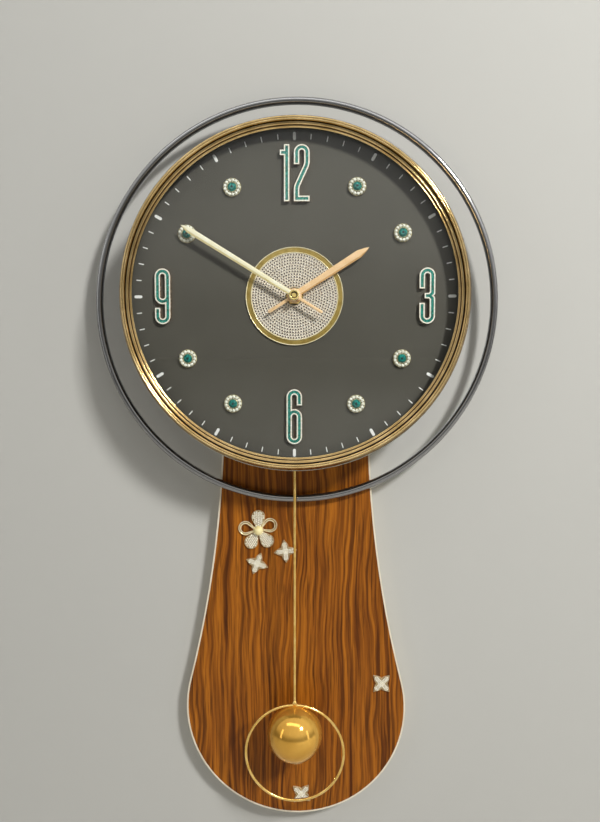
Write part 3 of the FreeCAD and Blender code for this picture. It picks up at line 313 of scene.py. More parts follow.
# Finishes: dark tone, light tone, grain, roughness, and what differs from a plain surface
FINISHES = {
    "board_core": ((112, 84, 52), (136, 104, 68), 240.0, (0.7, 0.9), {"bump": 0.35, "depth": 0.12}),
    "edge_band": ((214, 202, 176), (234, 224, 202), 180.0, (0.4, 0.55), {"stretch": (1, 1, 0.2)}),
    "zinc_steel": ((150, 148, 142), (186, 184, 178), 210.0, (0.28, 0.5), {"metal": 1.0, "bump": 0.15}),
    "pad_rubber": ((34, 34, 34), (52, 51, 50), 500.0, (0.7, 0.9), {"bump": 0.4}),
    "case_paint": ((44, 43, 42), (58, 57, 55), 420.0, (0.45, 0.62), {"bump": 0.25}),
    "rim_plate": ((190, 184, 166), (222, 216, 198), 130.0, (0.14, 0.26), {"metal": 1.0}),
    "bezel_gold": ((196, 168, 112), (230, 204, 152), 46.0, (0.12, 0.2), {"metal": 1.0, "bump": 0.0}),
    # Painted shade: near-black in the groove's floor and the valley at the glass; the same dark also covers
    # the black inner wall and the hidden back.
    "black_wall_and_groove_shade": ((20, 13, 6), (40, 28, 14), 90.0, (0.4, 0.6), {"metal": 0.4}),
    # Painted shade: brown in the valleys between the beads.
    "brown_groove_shade": ((58, 40, 18), (88, 64, 32), 90.0, (0.35, 0.5), {"metal": 0.7}),
    # Painted shade: a darker copy of the bezel gold for the bezel's hatched side.
    "hatch_gold_shaded": ((146, 118, 72), (170, 140, 90), 30.0, (0.2, 0.34), {"metal": 1.0, "bump": 0.0}),
    "spacer_plastic": ((28, 28, 27), (40, 39, 38), 300.0, (0.4, 0.55), {}),
    "dial_paint": ((78, 75, 67), (86, 83, 75), 9.0, (0.5, 0.6),
                   {"bump": 0.01, "depth": 0.01, "gloss": 0.12}),
    "mark_paint": ((246, 244, 238), (252, 251, 247), 320.0, (0.35, 0.5), {}),
    "medallion_gold": ((176, 148, 72), (206, 178, 100), 160.0, (0.26, 0.42), {"metal": 0.85}),
    # Painted highlight: a pale copy of the medallion gold on its rim and beads.
    "medal_rim_highlight": ((244, 228, 176), (255, 248, 216), 160.0, (0.2, 0.3), {"metal": 0.3}),
    "mesh_cup": ((230, 220, 202), (254, 249, 238), 420.0, (0.3, 0.45), {"metal": 0.1}),
    "mesh_bed": ((190, 176, 154), (216, 203, 184), 400.0, (0.4, 0.6), {}),
    "green_deep": ((1, 14, 12), (3, 30, 27), 900.0, (0.45, 0.6), {"gloss": 0.2}),
    "jewel_metal": ((206, 192, 140), (240, 230, 190), 500.0, (0.2, 0.34), {"metal": 0.5, "bump": 0.03}),
    "rose_gold": ((238, 196, 142), (250, 214, 168), 120.0, (0.24, 0.36), {"metal": 0.12, "bump": 0.01}),
    # Painted shade: a darker copy of the hour hand's gold for one facet of its blade.
    "rose_shaded_facet": ((206, 156, 94), (226, 178, 118), 120.0, (0.24, 0.36), {"metal": 0.2, "bump": 0.01}),
    "pale_gold": ((246, 236, 196), (255, 250, 224), 120.0, (0.24, 0.36), {"metal": 0.12, "bump": 0.01}),
    # Painted shade: a darker copy of the minute hand's gold for one facet of its blade.
    "pale_shaded_facet": ((226, 208, 148), (244, 228, 172), 120.0, (0.24, 0.36), {"metal": 0.2, "bump": 0.01}),
    "turned_brass": ((240, 204, 110), (255, 234, 158), 260.0, (0.18, 0.3), {"metal": 0.45, "bump": 0.03}),
    # Painted shade: the hollow inside the nut.
    "hole_shade": ((74, 52, 22), (104, 76, 36), 300.0, (0.4, 0.6), {"metal": 0.3}),
    # Painted shade: the jewels' bed between the white stones.
    "olive_gap_shade": ((42, 38, 24), (66, 60, 40), 400.0, (0.4, 0.6), {"metal": 0.3}),
    # Painted shade: the petals' and blossoms' face between the stones, darker than the rim.
    "pave_bed_shade": ((128, 104, 66), (176, 150, 104), 700.0, (0.3, 0.5), {"metal": 0.4}),
    "gear_resin": ((222, 216, 198), (236, 232, 218), 300.0, (0.4, 0.55), {}),
    "movement_plastic": ((34, 34, 35), (46, 46, 47), 900.0, (0.38, 0.52), {"bump": 0.2}),
    "spring_steel": ((170, 169, 164), (206, 205, 200), 260.0, (0.2, 0.35), {"metal": 1.0}),
    "circuit_resin": ((18, 74, 42), (28, 96, 56), 380.0, (0.3, 0.45), {}),
    "copper_wire": ((176, 96, 52), (214, 128, 74), 700.0, (0.25, 0.4), {"metal": 1.0, "stretch": (6, 1, 1)}),
    "core_iron": ((104, 104, 106), (132, 132, 134), 300.0, (0.4, 0.6), {"metal": 0.9}),
    "magnet_plate": ((176, 176, 180), (206, 206, 210), 200.0, (0.14, 0.26), {"metal": 1.0}),
    "pendulum_gold": ((220, 176, 88), (244, 208, 128), 150.0, (0.16, 0.28), {"metal": 0.85, "bump": 0.08}),
    "ball_gold": ((198, 144, 50), (228, 178, 82), 30.0, (0.06, 0.12),
                  {"metal": 0.66, "bump": 0.08, "depth": 0.1}),
    "crystal_pave": ((206, 190, 146), (240, 228, 188), 520.0, (0.24, 0.4), {"metal": 0.4, "bump": 0.03}),
    "silver_wire": ((228, 208, 158), (252, 238, 198), 200.0, (0.16, 0.28), {"metal": 0.5}),
    "pearl": ((238, 220, 146), (250, 238, 186), 120.0, (0.2, 0.3), {"coat": 0.6}),
}

# Cut stones: dark tone, light tone, roughness, and where the tones begin and end; the two tones are a
# painted dark reflection and painted glints
STONES = {
    "mesh_gem": ((48, 33, 24), (98, 76, 58), 0.3, (0.25, 0.75)),
    "green_stone": ((3, 72, 66), (34, 150, 138), 0.1, (0.25, 0.75)),
    "clear_crystal": ((186, 178, 146), (255, 254, 240), 0.1, (0.05, 0.4)),
    "pave_stone": ((172, 136, 82), (255, 252, 234), 0.1, (0.05, 0.28)),
}


# Camera
def make_camera():
    data = bpy.data.cameras.new("photo_camera")
    data.sensor_width = SENSOR
    data.sensor_fit = "AUTO"
    data.lens = FOCAL_PIXELS / IMAGE_HEIGHT * SENSOR
    data.clip_start = CAMERA_NEAR
    rx, ry, rz = (math.radians(turn) for turn in CAMERA_TURN)
    rows = Matrix.Rotation(rz, 3, "Z") @ Matrix.Rotation(ry, 3, "Y") @ Matrix.Rotation(rx, 3, "X")
    right = Vector((rows[0][0], rows[0][2], -rows[0][1]))
    up = Vector((-rows[1][0], -rows[1][2], rows[1][1]))
    back = Vector((-rows[2][0], -rows[2][2], rows[2][1]))
    camera = bpy.data.objects.new("photo_camera", data)
    place = Matrix((right, up, back)).transposed().to_4x4()
    place.translation = Vector(CAMERA_PLACE)
    camera.matrix_world = place
    bpy.context.scene.collection.objects.link(camera)
    bpy.context.scene.camera = camera


make_camera()


# Places
def at(x, out, z):
    """A point in metres from millimetres about the hands' axis."""
    return Vector((x * MM, -out * MM, (z - HANG_RISE) * MM))


def polar(radius, degrees):
    return radius * math.cos(math.radians(degrees)), radius * math.sin(math.radians(degrees))


def clock_place(radius, degrees):
    return radius * math.sin(math.radians(degrees)), radius * math.cos(math.radians(degrees))


# Shader nodes
def linear(red, green, blue):
    """A colour for a shader from its screen values."""
    values = []
    for channel in (red, green, blue):
        share = channel / 255
        values.append(share / 12.92 if share <= 0.04045 else ((share + 0.055) / 1.055) ** 2.4)
    return (*values, 1.0)


def new_material(name):
    material = bpy.data.materials.new(name)
    material.use_nodes = True
    tree = material.node_tree
    return material, tree, tree.nodes["Principled BSDF"]


def fill(tree, node, inputs):
    """Links or sets each named or numbered input of a node."""
    for socket, value in inputs.items():
        if isinstance(value, bpy.types.NodeSocket):
            tree.links.new(value, node.inputs[socket])
        else:
            node.inputs[socket].default_value = value
    return node


def add_node(tree, kind, inputs=None):
    return fill(tree, tree.nodes.new("ShaderNode" + kind), inputs or {})


def show(tree, surface, output="Material Output"):
    tree.links.new(surface, tree.nodes[output].inputs["Surface"])


def places(tree, kind="Object"):
    return add_node(tree, "TexCoord").outputs[kind]


def axis_part(tree, vector, axis):
    return add_node(tree, "SeparateXYZ", {"Vector": vector}).outputs[axis]


def stretched(tree, place, stretch):
    return add_node(tree, "Mapping", {"Vector": place, "Scale": stretch}).outputs["Vector"]


def noise(tree, scale, detail=3.0, stretch=(1, 1, 1), place=None):
    place = place or stretched(tree, places(tree), stretch)
    return add_node(tree, "TexNoise", {"Vector": place, "Scale": scale, "Detail": detail}).outputs["Fac"]


def cells(tree, scale, output="Color"):
    return add_node(tree, "TexVoronoi", {"Vector": places(tree), "Scale": scale}).outputs[output]


def ramp(tree, factor, *stops):
    """A colour ramp through (place, colour) stops in rising order."""
    node = add_node(tree, "ValToRGB", {"Fac": factor})
    elements = node.color_ramp.elements
    for k, (place, colour) in ((0, stops[0]), (1, stops[-1])):
        elements[k].position = place
        elements[k].color = colour
    for place, colour in stops[1:-1]:
        elements.new(place).color = colour
    return node.outputs["Color"]


def tones(tree, factor, dark, light, low=0.3, high=0.7):
    return ramp(tree, factor, (low, linear(*dark)), (high, linear(*light)))


def spread(tree, factor, low, high, start=0.0, end=1.0):
    """Carries start to end over to low to high."""
    return add_node(tree, "MapRange", {
        "Value": factor, "From Min": start, "From Max": end, "To Min": low, "To Max": high,
    }).outputs["Result"]


def worked(tree, operation, *values):
    node = add_node(tree, "Math", dict(enumerate(values)))
    node.operation = operation
    return node.outputs[0]


def mixed(tree, factor, first, second):
    node = tree.nodes.new("ShaderNodeMix")
    node.data_type = "RGBA"
    return fill(tree, node, {"Factor": factor, 6: first, 7: second}).outputs[2]


def mix_shaders(tree, factor, first, second):
    return add_node(tree, "MixShader", {0: factor, 1: first, 2: second}).outputs[0]


def add_bump(tree, shader, height, strength, depth):
    bump = add_node(tree, "Bump", {"Height": height, "Strength": strength, "Distance": depth * MM})
    tree.links.new(bump.outputs["Normal"], shader.inputs["Normal"])


# Materials
def finish_surface(name, dark, light, grain, rough, metal=0.0, bump=0.1, depth=FINE_DEPTH, coat=0.0,
                   stretch=(1, 1, 1), gloss=0.5):
    """Colour that drifts between two tones, with uneven roughness and a fine surface."""
    material, tree, shader = new_material(name)
    fill(tree, shader, {
        "Base Color": tones(tree, noise(tree, grain, 4.0, stretch), dark, light),
        "Roughness": spread(tree, noise(tree, grain * ROUGH_GRAIN_SHARE), *rough),
        "Metallic": metal,
        "Specular IOR Level": gloss,
        "Coat Weight": coat,
    })
    add_bump(tree, shader, noise(tree, grain * FINE_GRAIN_SHARE, 2.0, stretch), bump, depth)
    return material


def swayed_place(tree, stretch, sway, period):
    """Places pushed sideways by a slow noise, so that upright grain wanders and forms arches."""
    push = spread(tree, noise(tree, 1.0, 2.0, period), -sway * MM, sway * MM)
    aside = add_node(tree, "CombineXYZ", {"X": push}).outputs[0]
    total = add_node(tree, "VectorMath", {0: places(tree), 1: aside})
    total.operation = "ADD"
    return stretched(tree, total.outputs[0], stretch)


def make_walnut():
    """Upright grain: broad bands, dark lines that wander into arches, and short pores."""
    material, tree, shader = new_material("walnut")
    bands = noise(tree, 1.0, 3.0, place=swayed_place(tree, BAND_STRETCH, BAND_SWAY, BAND_PERIOD))
    lines = noise(tree, 1.0, 5.0, place=swayed_place(tree, LINE_STRETCH, LINE_SWAY, LINE_PERIOD))
    pores = noise(tree, 1.0, 3.0, PORE_STRETCH)
    base = ramp(tree, lines, (0.36, linear(70, 32, 3)), (0.45, linear(118, 62, 11)),
                (0.53, linear(156, 90, 20)), (0.66, linear(186, 112, 28)))
    tone = tones(tree, bands, (92, 46, 6), (172, 102, 25), 0.36, 0.64)
    grained = mixed(tree, spread(tree, bands, 0.15, 0.55), base, tone)
    dark = ramp(tree, pores, (0.36, WHITE), (0.46, BLACK))
    fill(tree, shader, {
        "Base Color": mixed(tree, spread(tree, dark, 0.0, 0.5), grained, linear(48, 22, 2)),
        "Roughness": spread(tree, lines, 0.42, 0.56),
        "Specular IOR Level": 0.16,
    })
    add_bump(tree, shader, pores, 0.1, FINE_DEPTH)
    return material


def make_enamel():
    """Green enamel with bright flakes under a clear gloss."""
    material, tree, shader = new_material("green_enamel")
    flakes = ramp(tree, cells(tree, FLAKE_GRAIN), (0.62, BLACK), (0.78, WHITE))
    tint = tones(tree, noise(tree, 260.0), (2, 76, 66), (14, 118, 104), 0.35, 0.65)
    fill(tree, shader, {
        "Base Color": mixed(tree, flakes, tint, linear(64, 180, 160)),
        "Roughness": spread(tree, noise(tree, 900.0), 0.12, 0.4),
        "Coat Weight": 0.7,
        "Coat Roughness": 0.05,
    })
    add_bump(tree, shader, cells(tree, FLAKE_GRAIN, "Distance"), 0.3, FINE_DEPTH)
    return material


def make_lacquer():
    """Dark satin paint under a clear coat."""
    material, tree, shader = new_material("black_lacquer")
    drift = noise(tree, 60.0, 4.0)
    fill(tree, shader, {
        "Base Color": tones(tree, drift, (15, 15, 14), (24, 24, 22)),
        "Roughness": spread(tree, drift, 0.3, 0.42),
        "IOR": 1.6,
        "Coat Weight": 1.0,
        "Coat IOR": 2.8,
        "Coat Roughness": 0.1,
    })
    add_bump(tree, shader, noise(tree, 700.0), 0.02, FINE_DEPTH)
    return material


def make_numeral_metal():
    """Pale polished faces, with the sides painted a darker brown gold as shade."""
    material, tree, shader = new_material("numeral_gold")
    facing = worked(tree, "ABSOLUTE", axis_part(tree, places(tree, "Normal"), "Y"))
    front = ramp(tree, facing, (0.93, BLACK), (0.985, WHITE))
    tone = tones(tree, noise(tree, TONE_GRAIN), (244, 234, 208), (255, 252, 242))
    # Painted shade: faces that turn away from the front take this darker brown gold.
    side = tones(tree, noise(tree, TONE_GRAIN), (168, 112, 54), (210, 156, 90))
    fill(tree, shader, {
        "Base Color": mixed(tree, front, side, tone),
        "Metallic": spread(tree, front, 0.8, 0.15),
        "Roughness": spread(tree, noise(tree, WEAR_GRAIN), 0.2, 0.34),
    })
    return material


def make_glass():
    """Thin clear glass, mostly see-through, with more gloss towards the edge."""
    material, tree, shader = new_material("clear_glass")
    tree.nodes.remove(shader)
    clear = add_node(tree, "BsdfTransparent", {"Color": GLASS_TINT}).outputs[0]
    smear = spread(tree, noise(tree, 9.0), 0.01, 0.04)
    gloss = add_node(tree, "BsdfGlossy", {"Roughness": smear}).outputs[0]
    edge = add_node(tree, "Fresnel", {"IOR": 1.33}).outputs["Fac"]
    shadow = add_node(tree, "LightPath").outputs["Is Shadow Ray"]
    show(tree, mix_shaders(tree, shadow, mix_shaders(tree, edge, clear, gloss), clear))
    return material


def make_stone(name, deep, bright, rough, limits):
    """A cut stone: glossy, with painted dark reflections and bright glints in small patches that stand for
    its facets.
    """
    material, tree, shader = new_material(name)
    # Painted reflection and glints: the two tones change from patch to patch.
    fill(tree, shader, {
        "Base Color": tones(tree, cells(tree, GLINT_GRAIN), deep, bright, *limits),
        "Roughness": spread(tree, noise(tree, 700.0), rough * 0.5, rough * 1.5),
        "Coat Weight": 1.0,
        "Coat Roughness": 0.02,
        "IOR": 1.7,
    })
    return material


def make_jacket():
    """A dark blue jacket with a copper band at the cell's plus end."""
    material, tree, shader = new_material("cell_jacket")
    copper = spread(tree, axis_part(tree, places(tree), "X"), 0.0, 1.0, *CELL_BAND)
    wear = tones(tree, noise(tree, 160.0), (24, 42, 70), (30, 52, 84), 0.35, 0.7)
    fill(tree, shader, {
        "Base Color": mixed(tree, copper, wear, linear(184, 112, 62)),
        "Roughness": spread(tree, noise(tree, WEAR_GRAIN), 0.2, 0.34),
        "Metallic": 0.35,
    })
    add_bump(tree, shader, noise(tree, 320.0), 0.08, FINE_DEPTH)
    return material


MATERIALS = {
    "walnut": make_walnut(),
    "black_lacquer": make_lacquer(),
    "clear_glass": make_glass(),
    "numeral_gold": make_numeral_metal(),
    "green_enamel": make_enamel(),
    "cell_jacket": make_jacket(),
}
for name, (dark, light, grain, rough, more) in FINISHES.items():
    MATERIALS[name] = finish_surface(name, dark, light, grain, rough, **more)
for name, values in STONES.items():
    MATERIALS[name] = make_stone(name, *values)


# Mesh building
class Build:
    """Gathers vertices, faces and material choices of one piece."""

    def __init__(self):
        self.verts = []
        self.faces = []
        self.choices = []

    def add(self, verts, faces, choice=0):
        base = len(self.verts)
        self.verts.extend(verts)
        for face in faces:
            self.faces.append([base + k for k in face])
            self.choices.append(choice)

    def lathe(self, profile, steps, x=0.0, z=0.0, choices=0, closed=True, depth=None):
        """Turns (radius, out) corners about an axis that faces the front."""
        count = len(profile)
        verts = []
        for k in range(steps):
            turn = 2 * math.pi * k / steps
            for n, (radius, out) in enumerate(profile):
                size = radius + (depth(turn, out, n) if depth else 0.0)
                verts.append(at(x + size * math.cos(turn), out, z + size * math.sin(turn)))
        self.turned(verts, steps, count, closed, choices)

    def standing(self, profile, low, steps):
        """Turns (radius, height) corners about the pendulum's upright line."""
        verts = []
        for k in range(steps):
            turn = 2 * math.pi * k / steps
            for radius, height in profile:
                verts.append(at(radius * math.cos(turn), SWING_OUT + radius * math.sin(turn), low + height))
        self.turned(verts, steps, len(profile), False, 0)

    def turned(self, verts, steps, count, closed, choices):
        """Joins each turned profile to the next; choices may differ from corner to corner."""
        base = len(self.verts)
        self.verts.extend(verts)
        for k in range(steps):
            here, there = base + k * count, base + (k + 1) % steps * count
            for n in range(count if closed else count - 1):
                m = (n + 1) % count
                self.faces.append([here + n, there + n, there + m, here + m])
                self.choices.append(choices if isinstance(choices, int) else choices[n])

    def tube(self, points, radius, sides, swell=None):
        """A round closed tube along points in metres; radius in millimetres."""
        count = len(points)
        base = len(self.verts)
        lift = None
        for k, point in enumerate(points):
            along = (points[(k + 1) % count] - points[k - 1]).normalized()
            if lift is None:
                lift = along.orthogonal().normalized()
            lift = (lift - along * lift.dot(along)).normalized()
            across = along.cross(lift)
            size = radius * (swell(k) if swell else 1.0) * MM
            for s in range(sides):
                turn = 2 * math.pi * s / sides
                self.verts.append(point + (lift * math.cos(turn) + across * math.sin(turn)) * size)
        for k in range(count):
            here, there = base + k * sides, base + (k + 1) % count * sides
            for s in range(sides):
                t = (s + 1) % sides
                self.faces.append([here + s, here + t, there + t, there + s])
                self.choices.append(0)

    def piece(self, name, materials, body, slot, replaced, sharp=35.0):
        """Makes the object; each face's choice is its material's place in the list."""
        mesh = bpy.data.meshes.new(name)
        mesh.from_pydata([tuple(v) for v in self.verts], [], self.faces)
        for material in materials:
            mesh.materials.append(MATERIALS[material])
        mesh.polygons.foreach_set("material_index", self.choices)
        cleaned = bmesh.new()
        cleaned.from_mesh(mesh)
        bmesh.ops.remove_doubles(cleaned, verts=cleaned.verts, dist=JOIN_REACH)
        bmesh.ops.recalc_face_normals(cleaned, faces=cleaned.faces)
        cleaned.to_mesh(mesh)
        cleaned.free()
        mesh.polygons.foreach_set("use_smooth", [True] * len(mesh.polygons))
        mesh.set_sharp_from_angle(angle=math.radians(sharp))
        mesh.update()
        piece = bpy.data.objects.new(name, mesh)
        bpy.context.scene.collection.objects.link(piece)
        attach(piece, body)
        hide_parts(*replaced)


def arc_points(centre, radius, start, end, steps):
    """Corners of an arc in (radius, out), from one angle to another."""
    points = []
    for k in range(steps + 1):
        turn = math.radians(start + (end - start) * k / steps)
        points.append((centre[0] + radius * math.cos(turn), centre[1] + radius * math.sin(turn)))
    return points


def moved(profile, radius, out):
    """A profile given from its own seat, put where it belongs."""
    return [(radius + across, out + up) for across, up in profile]


def joined(*groups):
    """One profile and its material choices from (corners, choice) groups."""
    profile = []
    choices = []
    for corners, choice in groups:
        profile.extend(corners)
        choices.extend([choice] * len(corners))
    return profile, choices


# Tube ring
def make_tube_ring():
    build = Build()
    path = []
    steps = 360
    for k in range(steps):
        x, z = polar(RING_RADIUS, 360 * k / steps)
        path.append(at(x, RING_OUT, z - RING_DROP))
    build.tube(path, RING_TUBE, 28)
    collar = [(0.0, BOARD_FACE), (COLLAR_RADIUS, BOARD_FACE), (COLLAR_RADIUS, RING_OUT - COLLAR_SETBACK),
              (COLLAR_RADIUS - COLLAR_ROUND, RING_OUT - COLLAR_ROUND), (0.0, RING_OUT)]
    stud = [(0.0, STUD_BACK), (STUD_RADIUS - STUD_CHAMFER, STUD_BACK),
            (STUD_RADIUS, STUD_BACK + STUD_CHAMFER), (STUD_RADIUS, BOARD_FACE + STUD_SUNK),
            (0.0, BOARD_FACE + STUD_SUNK)]
    for share in STUD_SHARES:
        x = NECK_HALF * share
        z = -math.sqrt(RING_RADIUS ** 2 - x ** 2) - RING_DROP
        build.lathe(collar, 32, x, z, closed=False)
        build.lathe(stud, 24, x, z, closed=False)
    build.piece("tube_ring", ["black_lacquer"], "clock", "black_lacquer", ["outer_ring"])


# Bezel and glass
def make_bezel():
    """Two fine beads outside, a deep groove, a polished band and a thin bead at the glass; the groove's
    floor and the valleys are painted dark and brown as shade.
    """
    polished, dark, brown = range(3)
    seat = DIAL_FACE + DIAL_GAP
    profile, choices = joined(
        (arc_points(*OUTER_BEAD), polished),
        ([BEAD_VALLEY], brown),
        (arc_points(*SECOND_BEAD), polished),
        ([GROOVE_SLOPE], polished),
        (GROOVE_FLOOR, dark),
        (FACE_RISE, polished),
        (arc_points(*RIDGE_BEAD), polished),
        ([FACE_END], polished),
        (BROWN_FLOOR, brown),
        (LIP_PROFILE, polished),
        ([LINER_VALLEY], dark),
        (arc_points(*LINER_BEAD), polished),
        ([(LINER_INNER, BEZEL_UNDER), (CASE_INNER, BEZEL_UNDER), (CASE_INNER, seat), (CASE_RADIUS, seat),
          (CASE_RADIUS, CASE_LIP), BEAD_FOOT], dark),
    )
    build = Build()
    build.lathe(profile, 480, choices=choices)
    build.piece("bezel_rings", ["bezel_gold", "black_wall_and_groove_shade", "brown_groove_shade"], "clock", "bezel_gold",
                ["bezel", "bezel_liner"], sharp=50.0)


def make_rim():
    """The thin plated edge behind the bezel, with the black plate inside it."""
    inner = CASE_RADIUS + RIM_GAP
    face = RIM_BACK + RIM_THICK
    crest = RIM_BACK + RIM_CREST
    build = Build()
    profile = [(inner, RIM_BACK), (RIM_RADIUS, RIM_BACK), (RIM_RADIUS, face),
               (RIM_RADIUS - RIM_ROUND, crest), (RIM_RADIUS - RIM_WIDTH, crest),
               (RIM_RADIUS - RIM_FOOT, face), (inner, face)]
    build.lathe(profile, 360, choices=[0, 0, 0, 0, 0, 1, 1])
    build.piece("plated_rim", ["rim_plate", "case_paint"], "clock", "rim_plate", ["case_rim"], sharp=40.0)


def make_bezel_side():
    """The bezel's outer side and its sloping shoulder, cut with fine slanting teeth, in gold painted darker
    as shade.
    """
    rows = 14
    steps = 6
    low = BEZEL_BACK + HATCH_START
    profile = [(CASE_RADIUS, BEZEL_BACK), (BEZEL_OUTER - BACK_ROUND, BEZEL_BACK)]
    for k in range(rows + 1):
        profile.append((BEZEL_OUTER, low + (SHOULDER_OUT - low) * k / rows))
    for k in range(1, steps + 1):
        profile.append((BEZEL_OUTER - SHOULDER_IN * k / steps, SHOULDER_OUT + SHOULDER_RISE * k / steps))
    profile.append((CASE_RADIUS, CASE_LIP))
    smooth = (0, 1, len(profile) - 1)

    def teeth(turn, out, n):
        if n in smooth:
            return 0.0
        wave = math.sin(turn * HATCH_TEETH + (out - low) * HATCH_LEAN)
        return -HATCH_DEPTH * (1.0 + wave) / 2

    build = Build()
    build.lathe(profile, HATCH_TEETH * 4, depth=teeth)
    build.piece("bezel_side", ["hatch_gold_shaded"], "clock", "bezel_gold", ["bezel"], sharp=70.0)


def dome(edge, seat):
    """Corners of the glass's shallow dome, from its crown to its edge."""
    crown = (edge ** 2 + DOME_RISE ** 2) / (2 * DOME_RISE)
    steps = 36
    points = []
    for k in range(steps + 1):
        radius = edge * k / steps
        points.append((radius, seat + DOME_RISE - crown + math.sqrt(crown ** 2 - radius ** 2)))
    return points


def make_dome():
    profile = dome(DOME_INNER, GLASS_SEAT) + [(GLASS_EDGE, GLASS_SEAT), (GLASS_EDGE, GLASS_FRONT)]
    profile += dome(DOME_EDGE, GLASS_FRONT)[::-1]
    build = Build()
    build.lathe(profile, 240, closed=False)
    build.piece("dome_glass", ["clear_glass"], "clock", "clear_glass", ["glass"], sharp=20.0)


# Medallion
def make_medallion():
    flat, rim = range(2)
    outer, inner = MEDAL_BEADS
    # The rim and beads take the pale gold as a painted highlight.
    profile, choices = joined(
        ([(MESH_RADIUS, DIAL_FACE), (MEDAL_RADIUS, DIAL_FACE)], flat),
        ([(MEDAL_RADIUS, MEDAL_EDGE)], rim),
        (arc_points(*outer), rim),
        ([(radius, MEDAL_FACE) for radius in MEDAL_FLAT], flat),
        (arc_points(*inner), rim),
    )
    build = Build()
    build.lathe(profile, 180, choices=choices)
    build.piece("medallion_band", ["medallion_gold", "medal_rim_highlight"], "clock", "medallion_gold",
                ["medallion_ring"], sharp=40.0)


def stone_rows():
    """Places of the mesh's stones, row by row from its edge, each half a stone further on."""
    radius = MESH_RADIUS - STONE_CUP - CUP_GAP
    row = 0
    while radius - STONE_CUP > MESH_HOLE:
        count = int(2 * math.pi * radius / (STONE_PITCH - STONE_SLACK))
        for k in range(count):
            yield polar(radius, 360 * (k + 0.5 * (row % 2)) / count)
        radius -= STONE_PITCH
        row += 1


def make_stone_mesh():
    """Concentric rows of small stones, each dark in the middle of its own pale cup."""
    bed = DIAL_FACE + MESH_THICK
    build = Build()
    build.lathe([(MESH_HOLE, DIAL_FACE), (MESH_RADIUS, DIAL_FACE), (MESH_RADIUS, bed), (MESH_HOLE, bed)],
                120, choices=2)
    for x, z in stone_rows():
        build.lathe(moved(CUP_PROFILE, 0.0, bed), 10, x, z, choices=0, closed=False)
        build.lathe(moved(GEM_PROFILE, 0.0, bed), 8, x, z, choices=1, closed=False)
    build.piece("stone_mesh", ["mesh_cup", "mesh_gem", "mesh_bed"], "clock", "crystal_mesh",
                ["medallion_mesh"], sharp=40.0)


# Jewels
def cut_gem(build, radius, height, sides, near, x, z, choice=0, turn=0.0):
    """A round stone with a girdle, two rows of facets and a flat table."""
    verts = []
    for radius_share, height_share, facet_share in GEM_SHARES:
        for k in range(sides):
            px, pz = polar(radius * radius_share, turn + 360 * (k + facet_share) / sides)
            verts.append(at(x + px, near + height * height_share, z + pz))
    faces = []
    for k in range(sides):
        n = (k + 1) % sides
        faces.append([k, n, sides + n, sides + k])
        faces.append([sides + k, sides + n, 2 * sides + k])
        faces.append([sides + n, 2 * sides + n, 2 * sides + k])
        faces.append([2 * sides + k, 2 * sides + n, 3 * sides + n])
        faces.append([2 * sides + k, 3 * sides + n, 3 * sides + k])
    faces.append(list(range(3 * sides, 4 * sides)))
    faces.append(list(range(sides))[::-1])
    build.add(verts, faces, choice)


def set_jewel(settings, x, z):
    """A round base with a bed painted dark as shade between the stones, and the collar that holds the green
    stone.
    """
    seat = DIAL_FACE + JEWEL_THICK
    base = [(0.0, DIAL_FACE), (JEWEL_RADIUS - JEWEL_ROUND, DIAL_FACE),
            (JEWEL_RADIUS, DIAL_FACE + JEWEL_ROUND), *moved(JEWEL_EDGE, JEWEL_RADIUS, seat), (0.0, seat)]
    settings.lathe(base, 48, x, z, closed=False, choices=[0, 0, 0, 0, 0, 1, 1])
    settings.lathe(moved(COLLAR_PROFILE, GREEN_RADIUS, seat), 36, x, z, closed=False)


def make_jewels():
    seat = DIAL_FACE + JEWEL_THICK
    settings, crystals, stones = Build(), Build(), Build()
    for angle in JEWEL_ANGLES:
        x, z = clock_place(JEWEL_ORBIT, angle)
        set_jewel(settings, x, z)
        cut_gem(stones, GREEN_RADIUS - GREEN_GAP, GREEN_HEIGHT, GREEN_SIDES, seat, x, z)
        stones.lathe(moved(GREEN_DOT, 0.0, seat), 12, x, z, closed=False, choices=1)
        for k in range(CRYSTAL_COUNT):
            turn = 360 * k / CRYSTAL_COUNT
            px, pz = polar(CRYSTAL_ORBIT, turn)
            cut_gem(crystals, CRYSTAL_RADIUS, CRYSTAL_HEIGHT, CRYSTAL_SIDES, seat + CRYSTAL_LIFT,
                    x + px, z + pz, 0, turn)
            bx, bz = polar(CRYSTAL_ORBIT + CRYSTAL_RADIUS - PRONG_INSET, turn + 180 / CRYSTAL_COUNT)
            settings.lathe(moved(PRONG_PROFILE, 0.0, seat), 8, x + bx, z + bz, closed=False)
    settings.piece("jewel_cups", ["jewel_metal", "olive_gap_shade"], "clock", "medallion_gold",
                   ["jewel_settings"], sharp=40.0)
    crystals.piece("jewel_whites", ["clear_crystal"], "clock", "clear_crystal",
                   ["jewel_crystals"], sharp=5.0)
    stones.piece("jewel_greens", ["green_stone", "green_deep"], "clock", "green_stone",
                 ["jewel_stones"], sharp=5.0)


# Hands
def tail_outline(reach, half, inner):
    """Corners of a hand's tail, from the hub round its rounded end."""
    steps = 10
    outline = [(-inner, half)]
    for k in range(steps + 1):
        turn = math.pi * k / steps
        outline.append((half - reach - half * math.sin(turn), half * math.cos(turn)))
    outline.append((-inner, -half))
    return outline


